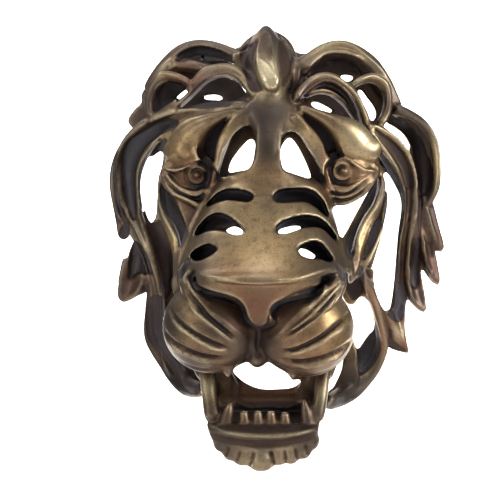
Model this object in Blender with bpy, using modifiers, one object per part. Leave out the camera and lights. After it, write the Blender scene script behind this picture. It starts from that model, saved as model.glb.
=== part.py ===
"""Openwork lion head wall mask, cast in one piece and open at the back.

The mask hangs on a wall: the wall is the plane y = 0, the face looks along -Y and +Z is up.
The origin is the middle of the flat pad behind the crown, which rests against the wall.

The pattern of locks, plates and openings is laid out on a front sheet, drawn as it is seen
from a station in front of the face. A place on it is (across, down) in sheet units, and "out"
is how far it stands from the wall, in millimetres. spot() puts it in space on its sight line.
"""

import math
from collections import namedtuple

import bmesh
import bpy
import numpy as np
from mathutils import Matrix, Vector

MM = 0.001

# The drawing station, in millimetres and degrees
SHEET_CENTRE = 250.0
SHEET_FOCUS = 875.0
STATION_DISTANCE = 560.0
STATION_AZIMUTH = 6.0
STATION_ELEVATION = 3.0
STATION_TARGET = (-12.0, -60.0, -131.5)

# The casting, in millimetres and degrees
RING_STEPS = 5
SPACING = 5.0
PLATE_COLUMNS = 19
MAX_LEAN = 40.0
LEAN_FADES_AT = 75.0
HEAD_AXIS = (-12.0, -125.0)
CUTTER_NEAR, CUTTER_FAR = 150.0, -20.0
CUT_VOXEL = 1.3
FUSE_VOXEL = 1.3
SOFTEN_ROUNDS = 3
MASK_TRIANGLES = 9800
STRAY_VERTICES = 40
PAD_SIZE = (22.0, 13.0, 16.0)

# A strand: (across, down, out, width in mm) along its middle line, then the depth of the hollow
# along its face, its thickness, and how far its sides fall away
Lock = namedtuple("Lock", "path hollow thick fall", defaults=(0.0, 6.0, 0.0))

# A rounded sheet: rows of (down, left, right, out in the middle, out at the edge), then the
# power of its curve and its thickness
Plate = namedtuple("Plate", "rows power thick", defaults=(2.6, 8.0))

# A floor between strands: its outline on the sheet, how far out, and how thick in mm
Web = namedtuple("Web", "outline out thick", defaults=(7.0,))

# A rounded mass: (across, down, out) of its middle, and its half sizes in x, y and z
Mass = namedtuple("Mass", "place half")

# A cone: root and tip on the sheet, how far out, its thickness in mm, and its bluntness
Tooth = namedtuple("Tooth", "root tip out thick blunt", defaults=(0.3,))

# The rim against the wall, the crest with its facet, and the forehead
CROWN = {
    "rim": Lock([(196, 60, 9, 14), (232, 62, 9, 12), (266, 52, 9, 14), (300, 66, 9, 12),
                 (336, 60, 9, 14)], 0, 18, 0),
    "crest": Lock([(266, 31, 28, 4), (266, 42, 37, 24), (268, 56, 43, 37),
                   (270, 72, 49, 30), (271, 88, 55, 23), (270, 104, 59, 27),
                   (269, 122, 62, 18)], 0, 14, 0.55),
    "facet": Lock([(267, 33, 33, 5), (265, 46, 44, 10), (264, 58, 53, 11),
                   (267, 70, 60, 12), (271, 82, 65, 11), (274, 92, 65, 6)], 0, 9, 0.05),
    "forehead": Lock([(270, 94, 59, 26), (270, 106, 61, 34), (269, 118, 64, 30),
                      (268, 132, 67, 18), (268, 147, 69, 15), (268, 159, 69, 16),
                      (268, 169, 69, 24), (268, 180, 68, 34), (268, 192, 64, 40)],
                     0, 9, 0.2),
}

# The loops over the brow and the long locks down both sides
LEFT_MANE = {
    "left arch": Lock([(247, 62, 34, 10), (232, 55, 30, 9), (215, 49, 27, 9),
                       (199, 47, 24, 9), (184, 51, 22, 10), (171, 61, 20, 10),
                       (158, 77, 18, 10), (148, 94, 16, 9)], 0, 11, 0.2),
    "left arch fold": Lock([(216, 71, 34, 7), (202, 68, 32, 8), (188, 65, 29, 9),
                            (176, 66, 26, 9), (164, 74, 24, 9), (155, 86, 22, 7)],
                           0, 8, 0.2),
    "left small loop": Lock([(192, 84, 40, 4), (180, 78, 38, 5), (166, 76, 34, 6),
                             (155, 84, 30, 6), (150, 98, 28, 6), (150, 112, 28, 6),
                             (158, 119, 30, 6)], 0, 8, 0.2),
    "left big loop": Lock([(258, 100, 58, 6), (250, 86, 54, 8), (240, 75, 50, 9),
                           (228, 70, 47, 9), (215, 71, 44, 9), (202, 78, 41, 9),
                           (191, 91, 39, 7), (178, 103, 36, 6), (165, 112, 32, 6),
                           (150, 121, 28, 5)],
                          1.5, 9, 0.3),
    "left long lock": Lock([(248, 106, 59, 6), (226, 107, 52, 8), (204, 110, 45, 10),
                            (182, 116, 38, 10), (161, 125, 31, 15), (144, 138, 24, 21),
                            (132, 153, 20, 25), (125, 170, 17, 26), (124, 190, 15, 25),
                            (128, 210, 15, 21), (138, 232, 18, 14), (148, 255, 22, 11),
                            (155, 280, 24, 10), (158, 305, 24, 9), (159, 326, 24, 8),
                            (165, 345, 26, 7), (175, 362, 30, 6), (186, 377, 36, 5)],
                           5, 7, 0.15),
    "left side tuft": Lock([(139, 238, 15, 6), (137, 254, 12, 14), (135, 272, 11, 20),
                            (130, 287, 9, 18), (122, 299, 8, 6)], 4, 8, 0.2),
    "left low lock": Lock([(153, 268, 13, 8), (155, 288, 13, 13), (154, 306, 13, 14),
                           (153, 324, 14, 15), (154, 338, 15, 16), (160, 350, 18, 16),
                           (168, 362, 21, 16), (177, 376, 26, 16), (187, 387, 36, 14),
                           (201, 391, 54, 9)], 1, 8, 0.2),
    "left temple": Lock([(206, 116, 44, 8), (186, 124, 36, 9), (170, 138, 30, 8),
                         (162, 156, 28, 6), (159, 180, 28, 5), (158, 200, 28, 5),
                         (158, 222, 26, 6)], 0, 7, 0),
    "left cheek strand": Lock([(161, 178, 36, 5), (161, 196, 38, 5), (163, 212, 42, 6),
                               (171, 229, 48, 7), (176, 245, 54, 6), (177, 262, 60, 5),
                               (177, 280, 66, 6)], 0, 8, 0.2),
}

RIGHT_MANE = {
    "right arch": Lock([(296, 68, 38, 12), (308, 62, 33, 11), (322, 53, 29, 11),
                        (338, 49, 26, 12), (354, 53, 24, 12), (370, 65, 21, 13),
                        (382, 81, 18, 12), (391, 98, 16, 10), (398, 114, 15, 9)],
                       1.5, 11, 0.3),
    "right big loop": Lock([(294, 102, 58, 5), (301, 91, 54, 6), (312, 82, 51, 6),
                            (324, 77, 48, 6), (337, 80, 45, 6), (350, 90, 42, 6),
                            (360, 106, 40, 6), (367, 127, 38, 6)], 0, 9, 0.3),
    "right loop fold": Lock([(303, 96, 48, 5), (316, 89, 42, 7), (331, 90, 38, 8),
                             (346, 101, 34, 8), (358, 117, 32, 8), (364, 127, 32, 8)],
                            1.5, 7, 0),
    "right small loop": Lock([(350, 87, 40, 4), (361, 80, 36, 5), (373, 78, 32, 6),
                              (384, 85, 29, 6), (388, 99, 27, 6), (386, 114, 27, 6),
                              (378, 127, 30, 6)], 0, 8, 0.3),
    "right long lock": Lock([(368, 127, 38, 7), (382, 137, 32, 12), (394, 152, 26, 15),
                             (404, 173, 21, 16), (408, 198, 18, 14), (407, 224, 16, 13),
                             (403, 250, 15, 12), (400, 276, 14, 12), (399, 300, 14, 11),
                             (396, 322, 14, 11), (400, 338, 12, 9), (404, 348, 11, 4)],
                            2.5, 8, 0.15),
    "right brow lock": Lock([(372, 130, 36, 6), (380, 146, 30, 8), (388, 160, 26, 8),
                             (398, 178, 22, 7), (404, 196, 20, 5)], 1.5, 7, 0),
    "right outer lock": Lock([(392, 108, 19, 6), (406, 115, 17, 8), (420, 125, 15, 9),
                              (430, 140, 14, 9), (434, 160, 13, 8), (434, 180, 12, 7),
                              (430, 196, 11, 6), (425, 206, 10, 4)], 0, 10, 0.2),
    "right first tuft": Lock([(424, 192, 9, 8), (427, 212, 10, 12), (432, 230, 9, 11),
                              (438, 244, 8, 7), (441, 253, 7, 2)], 1, 9, 0.15),
    "right second tuft": Lock([(416, 205, 13, 6), (420, 228, 12, 10), (426, 250, 11, 13),
                               (431, 267, 10, 10), (435, 278, 9, 6), (438, 286, 8, 2)],
                              2, 9, 0.2),
    "right third tuft": Lock([(409, 212, 16, 4), (409, 236, 14, 8), (411, 258, 13, 12),
                              (413, 280, 12, 14), (417, 296, 11, 12), (421, 306, 10, 7),
                              (424, 313, 9, 2)], 3, 9, 0.2),
    "right low lock": Lock([(362, 276, 52, 7), (371, 292, 40, 7), (378, 310, 30, 8),
                            (382, 330, 24, 8), (382, 346, 21, 8), (377, 361, 20, 9),
                            (367, 376, 22, 11), (355, 388, 26, 14), (342, 397, 34, 13),
                            (327, 404, 52, 9)], 1, 8, 0.2),
    "right strand link": Lock([(376, 286, 36, 5), (384, 306, 24, 7), (392, 324, 17, 9),
                               (398, 340, 13, 8)], 0, 7, 0.2),
    "right cheek strand": Lock([(381, 166, 36, 5), (382, 182, 40, 5), (378, 203, 46, 6),
                                (369, 220, 50, 8), (362, 236, 54, 8), (358, 252, 60, 7),
                                (357, 272, 66, 6)], 1, 8, 0.2),
    "right cheek fold": Lock([(386, 190, 32, 4), (384, 212, 36, 5), (377, 233, 44, 5),
                              (370, 250, 52, 5), (363, 268, 60, 5), (360, 284, 60, 6)],
                             0, 8, 0.2),
}

# The floors between them
MANE_WEBS = {
    "left arch channel": Web([(166, 66), (176, 55), (190, 49), (206, 48), (222, 53),
                              (240, 62), (248, 72), (228, 70), (208, 73), (192, 68),
                              (178, 68)], 12, 8),
    "left arch floor": Web([(150, 86), (160, 72), (176, 64), (196, 62), (214, 68),
                            (206, 80), (194, 88), (180, 84), (164, 80)], 20, 8),
    "left crest side": Web([(232, 56), (250, 50), (264, 50), (264, 98), (250, 102),
                            (246, 88), (240, 74)], 42, 10),
    "right crest side": Web([(272, 52), (288, 58), (299, 66), (300, 78), (296, 90),
                             (290, 101), (272, 102)], 40, 10),
    "left ear tip": Web([(152, 82), (143, 91), (141, 97), (142, 102), (134, 110),
                         (128, 119), (129, 124), (136, 130), (150, 124), (160, 114),
                         (158, 98)], 14, 9),
    "left small inside": Web([(167, 78), (158, 84), (150, 94), (149, 106), (155, 117),
                              (168, 114), (182, 106), (196, 94), (190, 82)], 12, 7),
    "left big inside": Web([(218, 76), (204, 82), (192, 92), (180, 104), (172, 110),
                            (190, 113), (208, 113), (228, 109), (248, 100), (244, 90),
                            (236, 81)], 18, 8),
    "left outer end": Web([(112, 176), (110, 190), (113, 208), (116, 224), (118, 236),
                           (123, 240), (129, 237), (131, 226), (128, 212), (122, 196)],
                          12, 8),
    "left temple floor": Web([(134, 142), (146, 130), (164, 124), (176, 132), (172, 150),
                              (160, 156), (146, 158), (138, 172), (132, 160)], 12, 8),
    "left cheek floor": Web([(144, 210), (154, 214), (162, 212), (174, 232), (182, 258),
                             (180, 288), (172, 312), (166, 336), (156, 334), (150, 300),
                             (148, 262), (142, 236)], 13, 8),
    "left low floor": Web([(158, 340), (166, 344), (178, 358), (200, 368), (208, 374),
                           (208, 394), (194, 397), (184, 393), (174, 381), (164, 366)],
                          28, 9),
    "right arch inside": Web([(340, 46), (322, 52), (310, 62), (302, 76), (306, 84),
                              (324, 82), (342, 84), (356, 82), (372, 80), (388, 90),
                              (382, 74), (366, 58), (352, 48)], 16, 8),
    "right big inside": Web([(328, 76), (310, 84), (298, 98), (304, 110), (324, 117),
                             (346, 122), (364, 132), (368, 120), (360, 102), (346, 86)],
                            20, 8),
    "right small inside": Web([(362, 80), (354, 88), (360, 102), (368, 118), (376, 130),
                               (386, 118), (390, 102), (386, 86), (374, 80)], 14, 8),
    "right temple floor": Web([(360, 122), (376, 122), (392, 134), (404, 150),
                               (414, 170), (408, 196), (396, 190), (386, 178),
                               (368, 180), (362, 150)], 14, 8),
    "right channel": Web([(388, 112), (400, 114), (416, 124), (428, 142), (434, 166),
                          (430, 196), (424, 206), (416, 196), (414, 172), (408, 148),
                          (398, 130), (386, 122)], 8, 6),
    "left side floor": Web([(160, 180), (168, 192), (180, 204), (190, 226), (192, 244),
                            (182, 262), (174, 250), (164, 228), (158, 205)], 30, 8),
    "right side floor": Web([(378, 178), (368, 192), (360, 206), (346, 232), (338, 246),
                             (346, 262), (358, 268), (368, 244), (382, 216), (386, 196)],
                            30, 8),
    "right fold floor": Web([(384, 196), (374, 222), (364, 248), (358, 272), (368, 276),
                             (378, 248), (386, 222), (388, 202)], 26, 8),
    "right low floor": Web([(377, 322), (366, 334), (353, 350), (352, 374), (362, 386),
                            (378, 374), (386, 352), (386, 334)], 10, 8),
    "right low inside": Web([(350, 336), (356, 348), (359, 374), (354, 390), (340, 401),
                             (328, 408), (324, 398), (334, 384), (342, 364), (345, 348)],
                            30, 10),
    "right link tuft": Web([(376, 290), (386, 309), (391, 315), (400, 311), (405, 305),
                            (405, 330), (407, 343), (409, 353), (401, 352), (394, 350),
                            (388, 346), (384, 330), (379, 310)], 17, 9),
    "right lip floor": Web([(350, 260), (364, 266), (376, 272), (378, 292), (368, 301),
                            (361, 294), (354, 303), (350, 288)], 40, 10),
}

# The brows, ribs, lids and pouches, with the hollowed shell under them
EYE_LOCKS = {
    "left brow": Lock([(240, 110, 61, 3), (224, 115, 61, 6), (207, 122, 60, 12),
                       (194, 131, 57, 20), (187, 142, 55, 26), (186, 153, 54, 28),
                       (187, 163, 52, 27)], 0, 8, 0.45),
    "right brow": Lock([(298, 107, 61, 4), (314, 113, 62, 7), (330, 121, 62, 11),
                        (345, 131, 60, 20), (353, 141, 58, 26), (357, 151, 56, 28),
                        (358, 162, 53, 26)], 0, 8, 0.45),
    "left rib": Lock([(254, 110, 62, 7), (239, 117, 62, 7), (229, 130, 61, 7),
                      (223, 146, 58, 6), (218, 162, 55, 5), (215, 178, 54, 5),
                      (212, 192, 54, 6)], 0, 9, 0.3),
    "right rib": Lock([(292, 113, 62, 8), (302, 125, 62, 7), (311, 139, 60, 6),
                       (318, 152, 57, 5), (323, 165, 55, 5), (327, 180, 55, 5),
                       (329, 194, 54, 5)], 0, 9, 0.3),
    "left upper lid": Lock([(209, 173, 57, 3), (203, 168, 58, 3), (194, 166, 58, 3),
                            (184, 168, 57, 3), (175, 170, 54, 3), (166, 169, 50, 3)],
                           0, 5, 0.2),
    "left lower lid": Lock([(166, 174, 50, 3), (174, 184, 54, 3), (184, 190, 56, 3),
                            (196, 193, 57, 3), (207, 188, 57, 3)], 0, 5, 0.2),
    "left pouch": Lock([(163, 170, 48, 4), (166, 184, 49, 5), (177, 194, 51, 5),
                        (189, 200, 53, 5), (198, 205, 54, 5), (204, 211, 55, 4)],
                       0, 7, 0.3),
    "right upper lid": Lock([(330, 169, 57, 3), (336, 162, 58, 3), (345, 159, 59, 3),
                             (354, 163, 58, 3), (364, 169, 55, 3), (376, 171, 51, 3)],
                            0, 5, 0.2),
    "right lower lid": Lock([(329, 184, 56, 3), (338, 188, 57, 3), (349, 188, 57, 3),
                             (357, 184, 56, 3), (364, 179, 54, 3), (375, 174, 50, 3)],
                            0, 5, 0.2),
    "right pouch": Lock([(329, 194, 53, 3), (341, 196, 54, 4), (353, 193, 53, 4),
                         (363, 185, 52, 4), (374, 176, 50, 3)], 0, 6, 0.3),
    "right low pouch": Lock([(331, 203, 52, 4), (345, 202, 52, 4), (357, 197, 51, 5),
                             (368, 186, 49, 5), (378, 172, 46, 4)], 0, 7, 0.3),
}

FACE_PLATES = {
    "forehead shell": Plate([(94, 246, 292, 57, 52), (102, 230, 306, 60, 48),
                             (111, 210, 324, 64, 44), (122, 193, 344, 67, 40),
                             (134, 179, 364, 69, 37), (148, 169, 376, 71, 35),
                             (160, 165, 379, 73, 35), (170, 164, 381, 75, 36),
                             (178, 166, 380, 76, 38)], 2.0, 9),
    "nose bridge": Plate([(166, 243, 294, 72, 66), (173, 230, 306, 75, 62),
                          (181, 220, 318, 78, 58), (190, 212, 326, 80, 56),
                          (206, 204, 332, 87, 54), (226, 194, 338, 96, 55),
                          (246, 186, 344, 105, 58), (264, 181, 349, 114, 64),
                          (279, 182, 347, 122, 78)], 2.6, 20),
    "nose floor": Plate([(184, 218, 320, 60, 46), (206, 207, 329, 68, 44),
                         (226, 198, 334, 76, 45), (246, 191, 339, 84, 48),
                         (264, 187, 344, 92, 54)], 2.6, 7),
    "nose front": Plate([(276, 194, 322, 121, 106), (284, 196, 320, 121, 106),
                         (290, 210, 306, 120, 108), (297, 236, 283, 118, 112),
                         (306, 245, 271, 115, 110), (316, 248, 268, 111, 107),
                         (327, 254, 262, 106, 104)], 2.6, 12),
    "jaw floor": Plate([(404, 218, 314, 52, 54), (414, 216, 314, 62, 62),
                        (424, 216, 314, 70, 70)], 2.0, 8),
    "gum": Plate([(372, 224, 312, 44, 44), (384, 222, 314, 52, 50),
                  (396, 222, 314, 60, 56), (408, 222, 312, 62, 58)], 2.0, 8),
    "lower lip": Plate([(424, 206, 320, 82, 74), (431, 208, 319, 90, 78),
                        (440, 212, 316, 91, 78), (449, 218, 310, 87, 76),
                        (456, 226, 303, 84, 74), (461, 240, 292, 80, 73)], 2.6, 12),
}

# The hollows in the shell, down to one floor
SHELL_HOLLOWS = [
    [(237, 111), (229, 112), (219, 116), (210, 122), (203, 131), (200, 140), (200, 147),
     (203, 153), (208, 159), (213, 162), (215, 152), (217, 142), (222, 130), (229, 119)],
    [(249, 125), (242, 127), (233, 135), (225, 147), (221, 160), (219, 176), (228, 176),
     (241, 172), (250, 168), (254, 156), (256, 142), (256, 131)],
    [(291, 131), (285, 133), (281, 141), (280, 152), (281, 164), (285, 171), (300, 178),
     (312, 182), (322, 188), (323, 177), (318, 165), (309, 150), (302, 139), (297, 133)],
    [(299, 111), (305, 112), (315, 116), (325, 123), (333, 132), (338, 143), (337, 150),
     (334, 156), (330, 161), (327, 155), (323, 143), (315, 131), (307, 122), (301, 116)],
    [(156, 166), (164, 166), (173, 168), (183, 166), (193, 163), (204, 161), (212, 165),
     (219, 176), (220, 192), (190, 200), (156, 192)],
    [(324, 176), (326, 165), (331, 159), (338, 156), (346, 156), (356, 161), (366, 167),
     (376, 170), (388, 168), (388, 192), (350, 200), (326, 194)],
]
SHELL_FLOOR = 30.0

EYE_WEBS = {
    "left brow floor": Web([(240, 108), (222, 110), (202, 124), (196, 142), (202, 160),
                            (212, 170), (222, 160), (226, 140), (234, 124)], 42, 7),
    "right brow floor": Web([(295, 108), (312, 110), (334, 124), (342, 142), (338, 158),
                             (326, 168), (318, 150), (310, 134), (300, 120)], 42, 7),
    "left wall": Web([(250, 118), (236, 126), (224, 142), (215, 162), (213, 182),
                      (224, 182), (250, 172), (262, 150), (262, 124)], 44, 10),
    "right wall": Web([(288, 122), (306, 134), (320, 154), (328, 180), (324, 194),
                       (300, 184), (280, 174), (276, 150), (276, 130)], 44, 10),
    "left eye floor": Web([(164, 164), (176, 158), (196, 155), (211, 158), (217, 172),
                           (214, 188), (205, 202), (194, 206), (180, 199), (168, 190),
                           (163, 178)], 50, 9),
    "right eye floor": Web([(328, 154), (344, 150), (364, 158), (379, 167), (377, 177),
                            (368, 190), (355, 199), (341, 203), (330, 204), (325, 190),
                            (325, 170)], 50, 9),
    "left cheek plane": Web([(172, 194), (186, 200), (199, 207), (203, 214), (197, 226),
                             (190, 238), (186, 230), (180, 214)], 50, 8),
}

EYE_MASSES = {
    "left eye": Mass((196, 176, 52), (7, 6, 7)),
    "left eye bulge": Mass((193, 179, 43), (15, 14, 11)),
    "right eye": Mass((341, 172, 53), (7, 6, 7)),
    "right eye bulge": Mass((350, 176, 44), (15, 14, 11)),
}

# The sides of the nose, and the slots and nostrils hollowed out of its bridge
NOSE_LOCKS = {
    "nose side left": Lock([(213, 186, 56, 5), (205, 203, 55, 5), (195, 221, 56, 6),
                            (187, 240, 60, 6), (181, 258, 66, 5), (177, 274, 70, 3)],
                           0, 9, 0.2),
    "nose side right": Lock([(325, 186, 56, 5), (329, 204, 55, 5), (334, 224, 56, 6),
                             (341, 244, 60, 6), (348, 262, 66, 5), (351, 276, 70, 3)],
                            0, 9, 0.2),
    "left wing": Lock([(187, 258, 82, 7), (186, 276, 90, 10), (195, 293, 99, 13),
                       (212, 311, 103, 12)], 0, 14, 0.4),
    "right wing": Lock([(338, 258, 84, 7), (338, 278, 92, 10), (328, 296, 99, 13),
                        (308, 313, 103, 12)], 0, 14, 0.4),
}
BRIDGE_HOLLOW_FLOOR = 40.0
BRIDGE_HOLLOWS = [
    [(201, 214), (206, 205), (213, 197), (221, 191), (231, 189), (243, 190), (252, 194),
     (254, 198), (249, 202), (239, 201), (227, 200), (216, 203), (207, 208)],
    [(273, 197), (276, 192), (284, 189), (296, 188), (308, 189), (316, 193), (324, 202),
     (330, 219), (323, 214), (315, 207), (306, 202), (293, 202), (281, 203), (275, 201)],
    [(194, 237), (198, 227), (206, 218), (216, 213), (224, 214), (233, 219), (241, 226),
     (245, 232), (241, 235), (234, 235), (224, 231), (213, 230), (203, 233)],
    [(275, 231), (278, 224), (287, 219), (299, 216), (312, 216), (321, 219), (329, 226),
     (335, 234), (340, 246), (331, 237), (324, 230), (316, 227), (303, 228), (291, 231),
     (281, 234)],
    [(190, 257), (193, 251), (200, 247), (207, 244), (213, 245), (218, 249), (213, 254),
     (206, 258), (199, 261), (193, 260)],
    [(297, 249), (301, 245), (308, 242), (316, 241), (322, 244), (328, 251), (334, 261),
     (328, 262), (320, 259), (310, 259), (302, 256)],
]

# The whisker pads, the teeth and the jaw
MUZZLE_MASSES = {
    "left pad": Mass((211, 326, 84), (30, 27, 29)),
    "right pad": Mass((305, 329, 84), (30, 27, 29)),
    "muzzle root": Mass((259, 318, 78), (24, 20, 20)),
    "philtrum": Mass((257, 340, 84), (6, 12, 13)),
    "lip knob": Mass((257, 357, 88), (5.5, 7, 6)),
}

UPPER_TEETH = [
    Tooth((229, 364), (228, 377), 92, 7), Tooth((291, 366), (291, 380), 92, 7),
    Tooth((245, 362), (253, 369), 86, 7), Tooth((263, 360), (259, 369), 86, 7),
]
LOWER_TEETH = [
    Tooth((225, 426), (230, 403), 77, 10), Tooth((245, 430), (244, 411), 80, 7.5, 0.7),
    Tooth((258, 431), (258, 411), 81, 7.5, 0.7), Tooth((272, 431), (271, 411), 81, 7.5, 0.7),
    Tooth((286, 430), (285, 412), 80, 7.5, 0.7), Tooth((309, 427), (304, 399), 77, 9.5, 0.2),
]

JAW_LOCKS = {
    "jaw left web": Lock([(216, 356, 56, 12), (222, 374, 54, 13), (227, 392, 56, 16),
                          (222, 412, 64, 12)], 0, 7, 0),
    "jaw right web": Lock([(318, 360, 56, 10), (314, 380, 54, 12), (308, 394, 56, 15),
                           (313, 412, 64, 12)], 0, 7, 0),
    "jaw left bar": Lock([(206, 366, 62, 9), (208, 384, 66, 10), (210, 402, 70, 10),
                          (214, 422, 76, 12)], 0, 10, 0.3),
    "jaw right bar": Lock([(325, 366, 60, 8), (322, 384, 66, 9), (320, 402, 71, 9),
                           (315, 422, 77, 11)], 0, 10, 0.3),
    "jaw left back": Lock([(182, 320, 62, 9), (190, 345, 58, 10), (200, 366, 58, 10),
                           (206, 380, 60, 9)], 0, 9, 0),
    "jaw right back": Lock([(345, 320, 60, 8), (338, 345, 56, 8), (330, 366, 56, 8),
                            (325, 380, 60, 8)], 0, 9, 0),
}
JAW_WEBS = {
    "back of the mouth": Web([(206, 352), (236, 348), (262, 350), (304, 356), (328, 354), (326, 380),
                              (322, 412), (308, 428), (262, 432), (222, 428), (208, 410), (204, 380)],
                             44, 9),
}
# The lobes under the chin: (across, down, out) of the middle, then the half sizes
CHIN_LOBES = {
    (222, 441, 76): (6, 7, 7), (231, 448, 77): (6, 8, 8), (243, 453, 78): (7.5, 9, 8),
    (261, 457, 79): (10, 10, 9), (279, 453, 78): (7, 9, 7.5), (291, 452, 78): (6, 9, 7.5),
    (303, 447, 77): (6, 8, 7.5), (312, 440, 76): (5, 7, 6),
}

# The places where the wall shows through the casting
OPENINGS = {
    "left side": [(161, 151), (163, 155), (162, 165), (158, 180), (157, 200), (156, 215),
                  (153, 222), (150, 222), (146, 212), (142, 195), (142, 181), (146, 168),
                  (152, 158)],
    "left of the bar": [(250, 139), (255, 142), (254, 155), (251, 166), (246, 170),
                        (238, 171), (229, 173), (229, 168), (232, 160), (240, 149)],
    "right of the bar": [(288, 138), (293, 140), (299, 149), (306, 163), (311, 178),
                         (304, 177), (292, 173), (284, 170), (281, 160), (281, 148)],
    "left loop": [(203, 99), (205, 96), (210, 95), (217, 95), (222, 97), (224, 100),
                  (214, 100)],
    "left small loop": [(187, 89), (189, 91), (180, 99), (172, 105), (177, 97)],
    "right loop": [(310, 103), (316, 102), (325, 106), (332, 110), (337, 114),
                   (328, 112), (315, 108)],
    "right arch": [(338, 76), (346, 75), (354, 77), (350, 81), (346, 82), (342, 79)],
    "right small loop": [(357, 90), (361, 90), (367, 98), (373, 106), (376, 114),
                         (374, 120), (371, 121), (367, 111), (362, 102)],
    "right lock": [(388, 126), (393, 127), (402, 133), (408, 142), (412, 152),
                   (404, 144), (396, 135)],
    "under the right eye": [(333, 208), (345, 205), (357, 200), (363, 197), (360, 206),
                            (353, 217), (345, 232), (341, 240), (339, 234), (336, 222)],
    "right side": [(383, 172), (388, 174), (395, 186), (400, 197), (401, 210), (398, 232),
                   (396, 255), (394, 280), (391, 303), (388, 311), (384, 310), (378, 299),
                   (374, 282), (375, 264), (381, 237), (387, 208), (387, 190)],
    "low right": [(361, 296), (366, 301), (371, 313), (374, 328), (368, 335), (358, 349),
                  (355, 345), (353, 336), (355, 322), (355, 307)],
    "beside the jaw": [(341, 362), (342, 367), (338, 378), (331, 390), (333, 376)],
    "mouth": [(233, 371), (240, 365), (248, 362), (252, 366), (258, 368), (264, 365),
              (268, 362), (276, 367), (288, 374), (292, 380), (303, 379), (297, 385),
              (290, 388), (277, 389), (263, 389), (252, 386), (243, 381)],
    "left nose": [(225, 231), (232, 227), (237, 227), (243, 231), (243, 234), (235, 235),
                  (229, 233)],
    "right nose": [(277, 232), (281, 229), (288, 227), (296, 226), (304, 227), (297, 230),
                   (288, 233), (280, 234)],
    "right nostril": [(298, 249), (304, 249), (312, 253), (318, 259), (309, 258),
                      (301, 255)],
}

# The whisker grooves
DEEP_GROOVES = [
    [(186, 284), (192, 295), (202, 305), (213, 316), (225, 328), (238, 340)],
    [(168, 302), (171, 312), (178, 321), (187, 329), (198, 336), (210, 342), (222, 347),
     (234, 350)],
    [(163, 326), (167, 336), (174, 343), (184, 349), (196, 354), (208, 357), (220, 358),
     (231, 358)],
    [(345, 288), (338, 294), (330, 301), (321, 308), (311, 317), (299, 327), (287, 334),
     (275, 339)],
    [(352, 309), (344, 319), (336, 326), (326, 334), (315, 341), (303, 347), (290, 351),
     (272, 351)],
    [(354, 338), (345, 347), (335, 353), (322, 358), (308, 361), (295, 362), (279, 359)],
]
FINE_GROOVES = [
    [(180, 286), (186, 298), (194, 307), (203, 314), (215, 323)],
    [(172, 355), (180, 362), (190, 367), (203, 370), (215, 369), (229, 366)],
    [(345, 278), (336, 286), (325, 295), (313, 305), (301, 315), (289, 325)],
    [(349, 356), (338, 366), (323, 373), (308, 376), (293, 373), (278, 366), (267, 358)],
]
# Other lines on the surface, as (line, half width in sheet units, height in mm, the nearest
# out that they meet); less than nothing is a groove
OTHER_LINES = [
    ([(258, 326), (258, 340), (257, 354)], 2.6, -3.0, 78),
    ([(268, 33), (272, 46), (274, 60), (277, 78), (277, 92)], 2.4, 1.4, 25),
    ([(281, 36), (288, 50), (291, 64), (287, 80)], 2.4, 1.2, 25),
    ([(258, 38), (250, 52), (249, 66)], 2.4, 1.2, 25),
    ([(228, 60), (212, 55), (196, 54), (183, 58), (174, 66)], 6.0, -2.4, 0),
    ([(190, 117), (172, 121), (152, 130), (137, 143), (128, 158), (126, 178),
      (127, 200)], 6.0, -2.4, 0),
    ([(398, 118), (411, 127), (420, 142), (424, 160), (426, 180), (426, 196)], 6.0, -2.4, 0),
    ([(236, 106), (205, 109), (172, 112), (151, 119), (136, 130), (125, 142), (117, 156),
      (113, 171), (112, 190), (114, 210)], 2.6, 1.3, 0),
    ([(374, 127), (388, 133), (402, 147), (411, 162), (416, 182), (417, 202), (414, 225),
      (410, 250), (408, 275), (409, 296)], 2.6, 1.3, 0),
    ([(212, 426), (226, 431), (244, 433), (262, 434), (290, 433), (312, 427)], 2.2, 1.2, 60),
    ([(244, 446), (262, 447), (296, 445)], 2.2, -1.5, 60),
]
GROOVE_NEAREST = 76.0
DEEP_GROOVE = (2.6, 3.6)
FINE_GROOVE = (1.9, 2.0)


def station_axes():
    """The drawing station's place, and its right, up and forward directions."""
    azimuth = math.radians(STATION_AZIMUTH)
    elevation = math.radians(STATION_ELEVATION)
    back = Vector((
        math.sin(azimuth) * math.cos(elevation),
        -math.cos(azimuth) * math.cos(elevation),
        math.sin(elevation),
    ))
    right = Vector((math.cos(azimuth), math.sin(azimuth), 0.0))
    up = right.cross(-back)
    place = Vector(STATION_TARGET) + back * STATION_DISTANCE
    return place, right, up, -back


STATION, RIGHT, UP, FORWARD = station_axes()


def spot(across, down, out):
    """The point, in millimetres, where a sight line of the sheet is this far from the wall."""
    ray = (
        FORWARD
        + RIGHT * ((across - SHEET_CENTRE) / SHEET_FOCUS)
        - UP * ((down - SHEET_CENTRE) / SHEET_FOCUS)
    )
    return STATION + ray * ((-out - STATION.y) / ray.y)


def on_sheet(points):
    """Where points in millimetres are seen on the sheet, as (across, down) rows."""
    ray = points - np.array(STATION)
    depth = ray @ np.array(FORWARD)
    across = SHEET_CENTRE + SHEET_FOCUS * (ray @ np.array(RIGHT)) / depth
    down = SHEET_CENTRE - SHEET_FOCUS * (ray @ np.array(UP)) / depth
    return np.stack([across, down], axis=1)


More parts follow.
